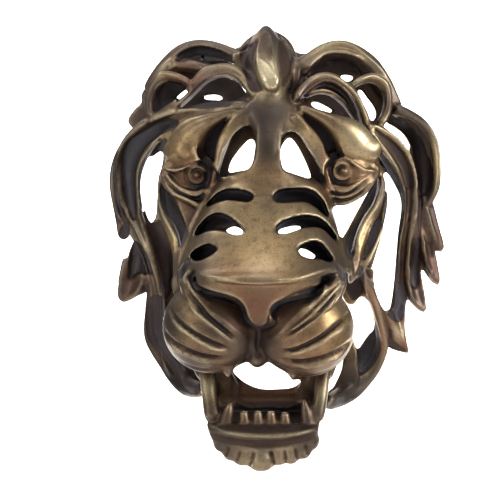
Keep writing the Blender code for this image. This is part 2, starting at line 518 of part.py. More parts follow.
def smooth_rows(rows, spacing=SPACING, closed=False):
    """Rows of numbers read off a Catmull-Rom curve through the given rows."""
    rows = np.array(rows, float)
    if closed:
        ends = np.vstack([rows[-1:], rows, rows[:2]])
    else:
        ends = np.vstack([2 * rows[0] - rows[1], rows, 2 * rows[-1] - rows[-2]])
    out = []
    for p0, p1, p2, p3 in zip(ends, ends[1:], ends[2:], ends[3:]):
        count = max(2, round(float(np.linalg.norm((p2 - p1)[:3])) / spacing))
        for k in range(count):
            t = k / count
            out.append(0.5 * (
                2 * p1 + (p2 - p0) * t + (2 * p0 - 5 * p1 + 4 * p2 - p3) * t**2
                + (3 * p1 - p0 - 3 * p2 + p3) * t**3
            ))
    if not closed:
        out.append(rows[-1])
    return np.array(out)


def face_direction(point):
    """Where a lock's face looks: at the station in the middle, and outwards near the wall."""
    toward = (STATION - point).normalized()
    radial = Vector((point.x - HEAD_AXIS[0], 0.0, point.z - HEAD_AXIS[1])).normalized()
    share = min(1.0, max(0.0, 1.0 + point.y / LEAN_FADES_AT))
    lean = math.radians(MAX_LEAN) * share
    return (toward * math.cos(lean) + radial * math.sin(lean)).normalized()


def section(width, hollow, thick, fall):
    """The ring of one cross-section of a lock, as (side, out) pairs in millimetres."""
    half = width / 2
    top, bottom = [], []
    for k in range(-RING_STEPS, RING_STEPS + 1):
        x = math.sin(math.pi / 2 * k / RING_STEPS)
        dip = max(0.0, 1 - (x / 0.8) ** 2) * min(hollow, 0.3 * width)
        edge = thick / 2 * (1 - abs(x) ** 6) ** 0.5
        drop = fall * half * x * x
        top.append((half * x, edge - dip - drop))
        bottom.append((half * x, -edge - 0.5 * dip - drop))
    return top + bottom[-2:0:-1]


def mesh_object(name, mesh):
    """An object that holds a bmesh."""
    data = bpy.data.meshes.new(name)
    mesh.to_mesh(data)
    mesh.free()
    return bpy.data.objects.new(name, data)


def closed_loft(name, rings):
    """A closed mesh object through rings of points in millimetres."""
    mesh = bmesh.new()
    rings = [[mesh.verts.new(Vector(p) * MM) for p in ring] for ring in rings]
    for a, b in zip(rings, rings[1:]):
        for k, corner in enumerate(a):
            j = (k + 1) % len(a)
            mesh.faces.new((corner, a[j], b[j], b[k]))
    mesh.faces.new(rings[0][::-1])
    mesh.faces.new(rings[-1])
    bmesh.ops.triangulate(mesh, faces=[f for f in mesh.faces if len(f.verts) > 4])
    bmesh.ops.recalc_face_normals(mesh, faces=mesh.faces)
    return mesh_object(name, mesh)


def rounding(points, i, radius):
    """How much a lock draws in close to its ends, so that they come out round."""
    away = min((points[i] - points[0]).length, (points[i] - points[-1]).length)
    share = 1 - min(1.0, away / max(radius, 1.0))
    return max(0.3, math.sqrt(1 - share * share))


def lock(name, form):
    """A lock of the mane or a rib of the face, lofted along its middle line."""
    rows = smooth_rows([(*spot(a, d, o), w) for a, d, o, w in form.path])
    points = [Vector(r[:3]) for r in rows]
    rings = []
    for i, point in enumerate(points):
        along = (points[min(i + 1, len(points) - 1)] - points[max(i - 1, 0)]).normalized()
        out = face_direction(point)
        out = (out - along * out.dot(along)).normalized()
        side = along.cross(out)
        width = max(2.0, rows[i][3])
        ring = section(width, form.hollow, min(form.thick, 1.6 * width + 2), form.fall)
        shrink = rounding(points, i, 0.5 * min(width, 2 * form.thick))
        rings.append([point + (side * s + out * o) * shrink for s, o in ring])
    return closed_loft(name, rings)


def plate(name, form):
    """A rounded sheet through rows that run across the face."""
    rings = []
    for down, left, right, middle, edge in smooth_rows(form.rows):
        front, back = [], []
        for k in range(PLATE_COLUMNS):
            x = -math.cos(math.pi * k / (PLATE_COLUMNS - 1))
            centre, half = (left + right) / 2, (right - left) / 2
            rise = (1 - abs(x) ** form.power) ** (1 / form.power)
            out = edge + (middle - edge) * rise
            front.append(spot(centre + half * x, down, out))
            back.append(spot(centre + 0.9 * half * x, down, out - form.thick))
        rings.append(front + back[::-1])
    return closed_loft(name, rings)


def prism(name, outline, far):
    """A cutter that follows the sight lines of a closed outline, down to an out."""
    rows = smooth_rows(outline, closed=True)
    near = [spot(a, d, CUTTER_NEAR) for a, d in rows]
    return closed_loft(name, [near, [spot(a, d, far) for a, d in rows]])


def web(name, form):
    """A floor of even thickness within an outline."""
    rows = smooth_rows(form.outline, closed=True)
    rings = [[spot(a, d, out) for a, d in rows] for out in (form.out, form.out - form.thick)]
    return closed_loft(name, rings)


def mass(name, form):
    """A rounded mass round a place on the sheet."""
    mesh = bmesh.new()
    bmesh.ops.create_uvsphere(mesh, u_segments=32, v_segments=20, radius=1.0)
    size = Matrix.Diagonal((*[MM * s for s in form.half], 1.0))
    mesh.transform(Matrix.Translation(spot(*form.place) * MM) @ size)
    return mesh_object(name, mesh)


def tooth(name, form):
    """A blunt cone from its root to its tip."""
    root, tip = spot(*form.root, form.out), spot(*form.tip, form.out)
    rings = []
    for share in (0.0, 0.35, 0.65, 0.88, 1.0):
        middle = root.lerp(tip, share)
        radius = form.thick / 2 * (1 - (1 - form.blunt) * share**2.2)
        turns = [2 * math.pi * k / 12 for k in range(12)]
        rings.append([
            middle + Vector((radius * math.cos(t), radius * math.sin(t), 0.0)) for t in turns
        ])
    return closed_loft(name, rings)


def wall_pad():
    """The flat pad behind the crown, with its front in the metal; its middle is the origin."""
    width, deep, tall = PAD_SIZE
    mesh = bmesh.new()
    bmesh.ops.create_cube(mesh, size=1.0)
    mesh.transform(Matrix.Diagonal((width * MM, 2 * deep * MM, tall * MM, 1.0)))
    return mesh_object("wall pad", mesh)


def add_modifier(obj, kind, **settings):
    """Add a modifier with its settings."""
    modifier = obj.modifiers.new(kind.title(), kind)
    for key, value in settings.items():
        setattr(modifier, key, value)


def bake_modifiers(obj):
    """Put an object's modified mesh in the place of its own."""
    graph = bpy.context.evaluated_depsgraph_get()
    graph.update()
    data = bpy.data.meshes.new_from_object(obj.evaluated_get(graph))
    obj.modifiers.clear()
    obj.data = data


def cut(obj, prisms, cutters):
    """Cut prisms out of an object."""
    for cutter in prisms:
        cutters.objects.link(cutter)
        cutter.hide_render = True
        cutter.display_type = "WIRE"
        # EXACT fails here: on these fine grids its cut gives back a mesh of a few points
        add_modifier(obj, "BOOLEAN", operation="DIFFERENCE", solver="MANIFOLD", object=cutter)
    bake_modifiers(obj)


def hollowed_plate(name, form, hollows, collection, cutters):
    """A plate with hollows cut in its front."""
    body = plate(name, form)
    collection.objects.link(body)
    add_modifier(body, "REMESH", mode="VOXEL", voxel_size=CUT_VOXEL * MM)
    bake_modifiers(body)
    cut(body, [prism(f"{name} hollow", outline, far) for outline, far in hollows], cutters)
    return body


def join(name, objects, collection):
    """One object from many, in their order."""
    mesh = bmesh.new()
    for obj in objects:
        mesh.from_mesh(obj.data)
    whole = mesh_object(name, mesh)
    collection.objects.link(whole)
    for obj in objects:
        bpy.data.objects.remove(obj)
    return whole


def surface_lines():
    """All the grooves and ridges, as (line, half width, height, nearest out)."""
    lines = list(OTHER_LINES)
    for outlines, (half_width, depth) in (
        (DEEP_GROOVES, DEEP_GROOVE), (FINE_GROOVES, FINE_GROOVE),
    ):
        lines += [(line, half_width, -depth, GROOVE_NEAREST) for line in outlines]
    return lines


def carve(obj):
    """Cut grooves and raise ridges where the lines are seen on the sheet."""
    mesh = obj.data
    count = len(mesh.vertices)
    places = np.empty(count * 3)
    mesh.vertices.foreach_get("co", places)
    places = places.reshape(-1, 3) / MM
    normals = np.empty(count * 3)
    mesh.vertices.foreach_get("normal", normals)
    normals = normals.reshape(-1, 3)
    seen = on_sheet(places)
    toward = np.array(STATION) - places
    toward /= np.linalg.norm(toward, axis=1)[:, None]
    facing = np.clip((normals * toward).sum(axis=1) * 2.5, 0, 1)
    shift = np.zeros(count)
    for line, half_width, height, nearest in surface_lines():
        rows = smooth_rows(line, 4.0)
        low, high = rows.min(axis=0) - 3 * half_width, rows.max(axis=0) + 3 * half_width
        near = ((seen > low) & (seen < high)).all(axis=1) & (-places[:, 1] > nearest)
        index = np.nonzero(near)[0]
        if not len(index):
            continue
        start, step = rows[:-1], np.diff(rows, axis=0)
        gap = seen[index][:, None] - start[None]
        share = np.clip((gap * step).sum(-1) / (step**2).sum(-1), 0, 1)
        away = np.linalg.norm(gap - share[..., None] * step, axis=-1)
        nearest_step = away.argmin(axis=1)
        pick = np.arange(len(index))
        along = (nearest_step + share[pick, nearest_step]) / len(step)
        taper = np.clip(5 * np.minimum(along, 1 - along), 0.15, 1)
        rise = height * taper * np.exp(-((away.min(axis=1) / half_width) ** 2))
        shift[index] += rise * facing[index]
    places += normals * shift[:, None]
    mesh.vertices.foreach_set("co", (places * MM).ravel())
    mesh.update()


def drop_strays(mesh):
    """Delete the loose specks that thinning the mesh leaves."""
    left = set(mesh.verts)
    while left:
        front = [left.pop()]
        part = list(front)
        while front:
            vertex = front.pop()
            for edge in vertex.link_edges:
                other = edge.other_vert(vertex)
                if other in left:
                    left.remove(other)
                    front.append(other)
                    part.append(other)
        if len(part) < STRAY_VERTICES:
            bmesh.ops.delete(mesh, geom=part, context="VERTS")


def flatten_back(obj):
    """Cut the back off at the wall, and close it there."""
    mesh = bmesh.new()
    mesh.from_mesh(obj.data)
    drop_strays(mesh)
    everything = mesh.verts[:] + mesh.edges[:] + mesh.faces[:]
    cut_back = bmesh.ops.bisect_plane(
        mesh, geom=everything, plane_co=(0, 0, 0), plane_no=(0, 1, 0), clear_outer=True,
        dist=1e-6,
    )
    edges = [g for g in cut_back["geom_cut"] if isinstance(g, bmesh.types.BMEdge)]
    bmesh.ops.holes_fill(mesh, edges=edges)
    bmesh.ops.triangulate(mesh, faces=mesh.faces)
    bmesh.ops.recalc_face_normals(mesh, faces=mesh.faces)
    mesh.to_mesh(obj.data)
    mesh.free()


def cast_metal():
    """The coat's plain colour."""
    material = bpy.data.materials.new("bronze")
    material.use_nodes = True
    shader = material.node_tree.nodes["Principled BSDF"]
    shader.inputs["Base Color"].default_value = (0.22, 0.14, 0.07, 1.0)
    shader.inputs["Metallic"].default_value = 0.8
    shader.inputs["Roughness"].default_value = 0.4
    return material


def all_forms(collection, cutters):
    """Every form of the mask, as closed meshes that run into each other."""
    forms = []
    for locks in (CROWN, LEFT_MANE, RIGHT_MANE, EYE_LOCKS, NOSE_LOCKS, JAW_LOCKS):
        forms += [lock(name, form) for name, form in locks.items()]
    for webs in (MANE_WEBS, EYE_WEBS, JAW_WEBS):
        forms += [web(name, form) for name, form in webs.items()]
    hollows = {
        "forehead shell": [(outline, SHELL_FLOOR) for outline in SHELL_HOLLOWS],
        "nose bridge": [(outline, BRIDGE_HOLLOW_FLOOR) for outline in BRIDGE_HOLLOWS],
    }
    for name, form in FACE_PLATES.items():
        if name in hollows:
            forms.append(hollowed_plate(name, form, hollows[name], collection, cutters))
        else:
            forms.append(plate(name, form))
    for masses in (EYE_MASSES, MUZZLE_MASSES):
        forms += [mass(name, form) for name, form in masses.items()]
    forms += [mass("chin lobe", Mass(place, half)) for place, half in CHIN_LOBES.items()]
    forms += [tooth("tooth", form) for form in UPPER_TEETH + LOWER_TEETH]
    return forms + [wall_pad()]


def main():
    """Build the mask."""
    for obj in list(bpy.data.objects):
        bpy.data.objects.remove(obj, do_unlink=True)
    collection = bpy.data.collections.new("lion head wall mask")
    cutters = bpy.data.collections.new("cutters")
    bpy.context.scene.collection.children.link(collection)
    bpy.context.scene.collection.children.link(cutters)

    mask = join("lion_mask", all_forms(collection, cutters), collection)
    add_modifier(mask, "REMESH", mode="VOXEL", voxel_size=FUSE_VOXEL * MM)
    bake_modifiers(mask)
    cut(mask, [prism(name, rows, CUTTER_FAR) for name, rows in OPENINGS.items()], cutters)
    add_modifier(mask, "REMESH", mode="VOXEL", voxel_size=FUSE_VOXEL * MM)
    bake_modifiers(mask)
    carve(mask)
    add_modifier(mask, "SMOOTH", factor=0.5, iterations=SOFTEN_ROUNDS)
    bake_modifiers(mask)
    faces = sum(len(p.vertices) - 2 for p in mask.data.polygons)
    add_modifier(mask, "DECIMATE", ratio=MASK_TRIANGLES / faces, use_collapse_triangulate=True)
    bake_modifiers(mask)
    flatten_back(mask)
    mask.data.materials.append(cast_metal())


main()
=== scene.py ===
"""Dressed scene of an openwork lion head wall mask, cast in resin and rubbed with bronze.

The pattern of locks, plates and openings is laid out on a front sheet, drawn as it is seen
from a station in front of the face. A place on it is (across, down) in sheet units, and "out"
is how far it stands from the wall, in millimetres. Sheet.spot puts it in space.
"""

from __future__ import annotations

import logging
import math
from dataclasses import dataclass, field
from enum import Enum

import bmesh
import bpy
import numpy as np
from mathutils import Matrix, Vector
from mathutils.bvhtree import BVHTree

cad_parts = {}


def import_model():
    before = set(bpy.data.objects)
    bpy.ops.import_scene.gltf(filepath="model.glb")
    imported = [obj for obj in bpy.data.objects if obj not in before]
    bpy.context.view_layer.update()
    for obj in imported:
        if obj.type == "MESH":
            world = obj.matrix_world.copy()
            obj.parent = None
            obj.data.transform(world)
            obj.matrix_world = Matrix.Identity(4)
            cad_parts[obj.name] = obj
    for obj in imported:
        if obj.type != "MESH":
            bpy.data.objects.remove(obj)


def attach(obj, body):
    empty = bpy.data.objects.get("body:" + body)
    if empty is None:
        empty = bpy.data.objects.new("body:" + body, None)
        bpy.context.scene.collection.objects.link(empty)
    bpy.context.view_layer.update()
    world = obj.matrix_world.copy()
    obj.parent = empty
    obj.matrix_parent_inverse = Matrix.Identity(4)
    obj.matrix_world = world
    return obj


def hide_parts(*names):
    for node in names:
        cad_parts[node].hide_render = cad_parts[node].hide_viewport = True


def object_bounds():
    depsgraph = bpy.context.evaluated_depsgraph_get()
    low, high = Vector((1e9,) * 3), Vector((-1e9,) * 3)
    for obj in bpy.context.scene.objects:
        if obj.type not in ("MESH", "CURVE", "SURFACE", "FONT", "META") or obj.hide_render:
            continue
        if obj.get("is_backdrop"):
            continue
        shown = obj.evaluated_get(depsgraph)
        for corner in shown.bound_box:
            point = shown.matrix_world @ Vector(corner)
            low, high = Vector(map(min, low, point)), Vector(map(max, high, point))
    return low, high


MM = 0.001
LOG = logging.getLogger("lion mask")
TINY = 1e-6

Row = tuple[float, ...]
Rows = list[Row]


@dataclass(frozen=True)
class Sheet:
    """The front sheet and its drawing station, in millimetres and degrees."""

    centre: float = 250.0
    focus: float = 875.0
    distance: float = 560.0
    azimuth: float = 6.0
    elevation: float = 3.0
    target: Row = (-12.0, -60.0, -131.5)

    @property
    def back(self) -> Vector:
        """The direction from the mask to the station.

        Returns:
            A unit vector.
        """
        turn, lift = math.radians(self.azimuth), math.radians(self.elevation)
        return Vector((
            math.sin(turn) * math.cos(lift),
            -math.cos(turn) * math.cos(lift),
            math.sin(lift),
        ))

    @property
    def right(self) -> Vector:
        """The sheet's rightward direction."""
        turn = math.radians(self.azimuth)
        return Vector((math.cos(turn), math.sin(turn), 0.0))

    @property
    def up(self) -> Vector:
        """The sheet's upward direction."""
        return self.back.cross(self.right)

    @property
    def station(self) -> Vector:
        """The station's place."""
        return Vector(self.target) + self.back * self.distance

    def spot(self, across: float, down: float, out: float) -> Vector:
        """Place a point of the sheet in space.

        Args:
            across: Sheet units from the left.
            down: Sheet units from the top.
            out: Millimetres from the wall.

        Returns:
            The point in millimetres.
        """
        ray = (
            -self.back
            + self.right * ((across - self.centre) / self.focus)
            - self.up * ((down - self.centre) / self.focus)
        )
        station = self.station
        return station + ray * ((-out - station.y) / ray.y)

    def seen(self, points: np.ndarray) -> np.ndarray:
        """Find where points in space are seen.

        Args:
            points: Rows of x, y and z in millimetres.

        Returns:
            Rows of across and down.
        """
        ray = points - np.array(self.station)
        depth = ray @ np.array(-self.back)
        across = self.centre + self.focus * (ray @ np.array(self.right)) / depth
        down = self.centre - self.focus * (ray @ np.array(self.up)) / depth
        return np.stack([across, down], axis=1)


class Cut(Enum):
    """Which way a stroke moves the surface."""

    GROOVE = 1.0
    RIDGE = -1.0


@dataclass(frozen=True)
class Lock:
    """A strand: (across, down, out, width in mm) along its middle, and its cross-section."""

    path: Rows
    hollow: float = 0.0
    thick: float = 6.0
    fall: float = 0.0


@dataclass(frozen=True)
class Plate:
    """A rounded sheet: rows of (down, left, right, out in the middle, out at the edge)."""

    rows: Rows
    power: float = 2.6
    thick: float = 8.0


@dataclass(frozen=True)
class Web:
    """A floor between strands: its outline on the sheet, how far out, and how thick in mm."""

    outline: Rows
    out: float
    thick: float = 7.0


@dataclass(frozen=True)
class Mass:
    """A rounded mass: (across, down, out) of its middle, and half sizes in mm."""

    place: Row
    half: Row


@dataclass(frozen=True)
class Tooth:
    """A cone: root and tip on the sheet, how far out, its thickness in mm, its bluntness."""

    root: Row
    tip: Row
    out: float
    thick: float
    blunt: float = 0.3


@dataclass(frozen=True)
class Stroke:
    """A line cut into or raised on the surface, seen on the sheet, within a band of out."""

    line: Rows
    half_width: float
    depth: float
    cut: Cut = Cut.GROOVE
    nearest: float = 0.0
    furthest: float = 200.0


@dataclass(frozen=True)
class Panel:
    """A sunk panel: outline on the sheet, depth, shade painted (highlight if < 0), band of out."""

    outline: Rows
    depth: float
    dark: float
    nearest: float = 0.0
    furthest: float = 200.0


def grooves(lines: list[Rows], half_width: float, depth: float, nearest: float = 0.0,
            furthest: float = 200.0) -> list[Stroke]:
    """Make grooves of one width and depth."""
    return [Stroke(line, half_width, depth, Cut.GROOVE, nearest, furthest) for line in lines]


def ridges(lines: list[Rows], half_width: float, height: float, nearest: float = 0.0,
           furthest: float = 200.0) -> list[Stroke]:
    """Make ridges of one width and height."""
    return [Stroke(line, half_width, height, Cut.RIDGE, nearest, furthest) for line in lines]


def smooth_rows(rows: Rows, spacing: float, closed: bool = False) -> np.ndarray:
    """Read rows of numbers off a Catmull-Rom curve.

    Args:
        rows: The rows that the curve passes through.
        spacing: The distance between rows, by their first three numbers.
        closed: Whether the curve comes back to its start.

    Returns:
        The denser rows.
    """
    given = np.array(rows, float)
    if closed:
        ends = np.vstack([given[-1:], given, given[:2]])
    else:
        ends = np.vstack([2 * given[0] - given[1], given, 2 * given[-1] - given[-2]])
    out = []
    for p0, p1, p2, p3 in zip(ends, ends[1:], ends[2:], ends[3:]):
        count = max(2, round(float(np.linalg.norm((p2 - p1)[:3])) / spacing))
        for step in range(count):
            t = step / count
            out.append(0.5 * (
                2 * p1 + (p2 - p0) * t + (2 * p0 - 5 * p1 + 4 * p2 - p3) * t**2
                + (3 * p1 - p0 - 3 * p2 + p3) * t**3
            ))
    if not closed:
        out.append(given[-1])
    return np.array(out)


def line_gap(points: np.ndarray, rows: np.ndarray) -> tuple[np.ndarray, np.ndarray]:
    """Measure each point's distance from a line, and how far along it the nearest place is.

    Args:
        points: Places on the sheet.
        rows: The line's places.

    Returns:
        The distances, and the shares of the line, from 0 to 1.
    """
    start, step = rows[:-1], np.diff(rows, axis=0)
    gap = points[:, None] - start[None]
    share = np.clip((gap * step).sum(-1) / (step**2).sum(-1), 0, 1)
    away = np.linalg.norm(gap - share[..., None] * step, axis=-1)
    nearest = away.argmin(axis=1)
    pick = np.arange(len(points))
    return away[pick, nearest], (nearest + share[pick, nearest]) / len(step)


def inside_line(points: np.ndarray, rows: np.ndarray) -> np.ndarray:
    """Say which points lie inside a closed line, by the times a ray from each crosses it.

    Args:
        points: Places on the sheet.
        rows: The closed line's places.

    Returns:
        True for each point inside.
    """
    (x0, y0), (x1, y1) = rows[:-1].T, rows[1:].T
    x, y = points[:, :1], points[:, 1:]
    spans = (y0 > y) != (y1 > y)
    rise = np.where(np.abs(y1 - y0) < TINY, TINY, y1 - y0)
    return (spans & (x < x0 + (y - y0) * (x1 - x0) / rise)).sum(axis=1) % 2 == 1


def edge_ends(mesh: bpy.types.Mesh) -> tuple[np.ndarray, np.ndarray, np.ndarray]:
    """Read the vertices at both ends of each edge, and how many edges meet at each vertex.

    Args:
        mesh: The mask's mesh.

    Returns:
        The edges' first vertices, their second ones, and each vertex's count.
    """
    edges = np.empty(len(mesh.edges) * 2, int)
    mesh.edges.foreach_get("vertices", edges)
    start, end = edges.reshape(-1, 2).T
    return start, end, np.maximum(np.bincount(edges, minlength=len(mesh.vertices)), 1)


def show(obj: bpy.types.Object) -> bpy.types.Object:
    """Put an object in the scene."""
    bpy.context.scene.collection.objects.link(obj)
    return obj


def add_modifier(obj: bpy.types.Object, kind: str, **settings: object) -> None:
    """Add a modifier with its settings.

    Args:
        obj: The object.
        kind: The modifier's type.
        **settings: Its attributes.
    """
    modifier = obj.modifiers.new(kind.title(), kind)
    for key, value in settings.items():
        setattr(modifier, key, value)


def bake_modifiers(obj: bpy.types.Object) -> None:
    """Put an object's modified mesh in the place of its own.

    Args:
        obj: The object.
    """
    graph = bpy.context.evaluated_depsgraph_get()
    graph.update()
    data = bpy.data.meshes.new_from_object(obj.evaluated_get(graph))
    obj.modifiers.clear()
    obj.data = data


@dataclass
class Modeller:
    """Makes closed meshes from the forms on the sheet."""

    sheet: Sheet
    ring_steps: int = 8
    spacing: float = 3.0
    hollow_share: float = 0.8
    deepest_hollow: float = 0.3
    back_dip: float = 0.5
    edge_power: int = 6
    least_width: float = 2.0
    thickest: float = 1.6
    end_draw: float = 0.3
    columns: int = 31
    back_taper: float = 0.9
    mass_columns: int = 64
    mass_rows: int = 40
    tooth_shares: Row = (0.0, 0.35, 0.65, 0.88, 1.0)
    tooth_power: float = 2.2
    tooth_sides: int = 20
    max_lean: float = 40.0
    lean_fades_at: float = 75.0
    head_axis: Row = (-12.0, -125.0)
    cutter_near: float = 150.0
    cut_voxel: float = 1.2

    def closed_loft(self, name: str, rings: list[list[Vector]]) -> bpy.types.Object:
        """Skin rings of points and cap both ends.

        Args:
            name: The object's name.
            rings: Rings with the same number of points, in millimetres.

        Returns:
            The closed object.
        """
        mesh = bmesh.new()
        corners = [[mesh.verts.new(Vector(p) * MM) for p in ring] for ring in rings]
        for near, far in zip(corners, corners[1:]):
            for k, corner in enumerate(near):
                j = (k + 1) % len(near)
                mesh.faces.new((corner, near[j], far[j], far[k]))
        mesh.faces.new(corners[0][::-1])
        mesh.faces.new(corners[-1])
        bmesh.ops.triangulate(mesh, faces=[f for f in mesh.faces if len(f.verts) > 4])
        bmesh.ops.recalc_face_normals(mesh, faces=mesh.faces)
        return self.finished(name, mesh)

    @staticmethod
    def finished(name: str, mesh: bmesh.types.BMesh) -> bpy.types.Object:
        """Turn a bmesh into an object.

        Args:
            name: The object's name.
            mesh: The bmesh, which is freed.

        Returns:
            The object.
        """
        data = bpy.data.meshes.new(name)
        mesh.to_mesh(data)
        mesh.free()
        return bpy.data.objects.new(name, data)

    def face_direction(self, point: Vector) -> Vector:
        """Find where a lock's face looks: ahead in the middle, outwards near the wall.

        Args:
            point: A place on the lock's middle line.

        Returns:
            A unit vector.
        """
        toward = (self.sheet.station - point).normalized()
        radial = Vector((point.x - self.head_axis[0], 0.0, point.z - self.head_axis[1]))
        radial.normalize()
        share = min(1.0, max(0.0, 1.0 + point.y / self.lean_fades_at))
        lean = math.radians(self.max_lean) * share
        return (toward * math.cos(lean) + radial * math.sin(lean)).normalized()

    def section(self, width: float, hollow: float, thick: float, fall: float) -> Rows:
        """Work out one cross-section of a lock.

        Args:
            width: The lock's width.
            hollow: The depth of the hollow along its face.
            thick: Its thickness.
            fall: How far its sides fall away, as a share of half its width.

        Returns:
            The ring as (side, out) pairs.
        """
        half = width / 2
        top, bottom = [], []
        for k in range(-self.ring_steps, self.ring_steps + 1):
            x = math.sin(math.pi / 2 * k / self.ring_steps)
            dip = max(0.0, 1 - (x / self.hollow_share) ** 2)
            dip *= min(hollow, self.deepest_hollow * width)
            edge = thick / 2 * math.sqrt(1 - abs(x) ** self.edge_power)
            drop = fall * half * x * x
            top.append((half * x, edge - dip - drop))
            bottom.append((half * x, -edge - self.back_dip * dip - drop))
        return top + bottom[-2:0:-1]

    def lock(self, name: str, form: Lock) -> bpy.types.Object:
        """Loft a lock along its middle line.

        Args:
            name: The object's name.
            form: The lock.

        Returns:
            The closed object.
        """
        given = [(*self.sheet.spot(a, d, o), w) for a, d, o, w in form.path]
        rows = smooth_rows(given, self.spacing)
        points = [Vector(row[:3]) for row in rows]
        rings = []
        for i, point in enumerate(points):
            ahead = points[min(i + 1, len(points) - 1)]
            along = (ahead - points[max(i - 1, 0)]).normalized()
            out = self.face_direction(point)
            out = (out - along * out.dot(along)).normalized()
            side = along.cross(out)
            width = max(self.least_width, rows[i][3])
            thick = min(form.thick, self.thickest * width + self.least_width)
            ring = self.section(width, form.hollow, thick, form.fall)
            shrink = self.rounding(i, points, min(width / 2, form.thick))
            rings.append([point + (side * s + out * o) * shrink for s, o in ring])
        return self.closed_loft(name, rings)

    def rounding(self, i: int, points: list[Vector], radius: float) -> float:
        """Find how much a lock draws in close to its ends, so that they come out round.

        Args:
            i: Which point of the line it is.
            points: The middle line.
            radius: The radius of the round ends.

        Returns:
            The share of the full section.
        """
        away = min((points[i] - points[0]).length, (points[i] - points[-1]).length)
        share = 1 - min(1.0, away / max(radius, 1.0))
        return max(self.end_draw, math.sqrt(1 - share * share))

    def plate(self, name: str, form: Plate) -> bpy.types.Object:
        """Skin a rounded sheet through its rows.

        Args:
            name: The object's name.
            form: The plate.

        Returns:
            The closed object.
        """
        rings = []
        for down, left, right, middle, edge in smooth_rows(form.rows, self.spacing):
            front, back = [], []
            for k in range(self.columns):
                x = -math.cos(math.pi * k / (self.columns - 1))
                rise = (1 - abs(x) ** form.power) ** (1 / form.power)
                out = edge + (middle - edge) * rise
                centre, half = (left + right) / 2, (right - left) / 2
                front.append(self.sheet.spot(centre + half * x, down, out))
                half *= self.back_taper
                back.append(self.sheet.spot(centre + half * x, down, out - form.thick))
            rings.append(front + back[::-1])
        return self.closed_loft(name, rings)

    def slab(self, name: str, outline: Rows, near: float, far: float) -> bpy.types.Object:
        """Skin an outline along its sight lines, from one distance out to another.

        Args:
            name: The object's name.
            outline: The outline on the sheet.
            near: The front's out.
            far: The back's out.

        Returns:
            The closed object.
        """
        rows = smooth_rows(outline, self.spacing, closed=True)
        return self.closed_loft(
            name, [[self.sheet.spot(a, d, out) for a, d in rows] for out in (near, far)])

    def prism(self, name: str, outline: Rows, far: float) -> bpy.types.Object:
        """Make a cutter from in front of the face down to a distance out."""
        return self.slab(name, outline, self.cutter_near, far)

    def web(self, name: str, form: Web) -> bpy.types.Object:
        """Lay a floor of even thickness within an outline."""
        return self.slab(name, form.outline, form.out, form.out - form.thick)

    def cut(self, body: bpy.types.Object, cutters: list[bpy.types.Object]) -> None:
        """Cut forms out of a body.

        Args:
            body: The body.
            cutters: The forms, which are used up.
        """
        for cutter in cutters:
            add_modifier(body, "BOOLEAN", operation="DIFFERENCE", solver="MANIFOLD",
                         object=show(cutter))
        bake_modifiers(body)
        for cutter in cutters:
            bpy.data.objects.remove(cutter)

    def hollowed(self, name: str, form: Plate, hollows: list[tuple[Rows, float]]
                 ) -> bpy.types.Object:
        """Make a plate with hollows in it.

        Args:
            name: The object's name.
            form: The plate.
            hollows: Each hollow's outline, and the out of its floor.

        Returns:
            The plate.
        """
        body = show(self.plate(name, form))
        add_modifier(body, "REMESH", mode="VOXEL", voxel_size=self.cut_voxel * MM)
        bake_modifiers(body)
        self.cut(body, [self.prism("hollow", outline, far) for outline, far in hollows])
        return body

    def mass(self, name: str, form: Mass) -> bpy.types.Object:
        """Make a rounded mass.

        Args:
            name: The object's name.
            form: The mass.

        Returns:
            The closed object.
        """
        mesh = bmesh.new()
        bmesh.ops.create_uvsphere(mesh, u_segments=self.mass_columns,
                                  v_segments=self.mass_rows, radius=1.0)
        size = Matrix.Diagonal((*[MM * s for s in form.half], 1.0))
        mesh.transform(Matrix.Translation(self.sheet.spot(*form.place) * MM) @ size)
        return self.finished(name, mesh)

    def tooth(self, name: str, form: Tooth) -> bpy.types.Object:
        """Make a tooth from its root to its tip.

        Args:
            name: The object's name.
            form: The tooth.

        Returns:
            The closed object.
        """
        root, tip = self.sheet.spot(*form.root, form.out), self.sheet.spot(*form.tip, form.out)
        turns = [2 * math.pi * k / self.tooth_sides for k in range(self.tooth_sides)]
        rings = []
        for share in self.tooth_shares:
            middle = root.lerp(tip, share)
            radius = form.thick / 2 * (1 - (1 - form.blunt) * share**self.tooth_power)
            rings.append([
                middle + Vector((radius * math.cos(t), radius * math.sin(t), 0.0))
                for t in turns
            ])
        return self.closed_loft(name, rings)

    def pad(self, size: Row) -> bpy.types.Object:
        """Make the block of the wall pad, with its middle on the wall.

        Args:
            size: Its width, its depth and its height in mm.

        Returns:
            The closed object.
        """
        mesh = bmesh.new()
        bmesh.ops.create_cube(mesh, size=1.0)
        width, deep, tall = size
        mesh.transform(Matrix.Diagonal((width * MM, 2 * deep * MM, tall * MM, 1.0)))
        return self.finished("wall pad", mesh)


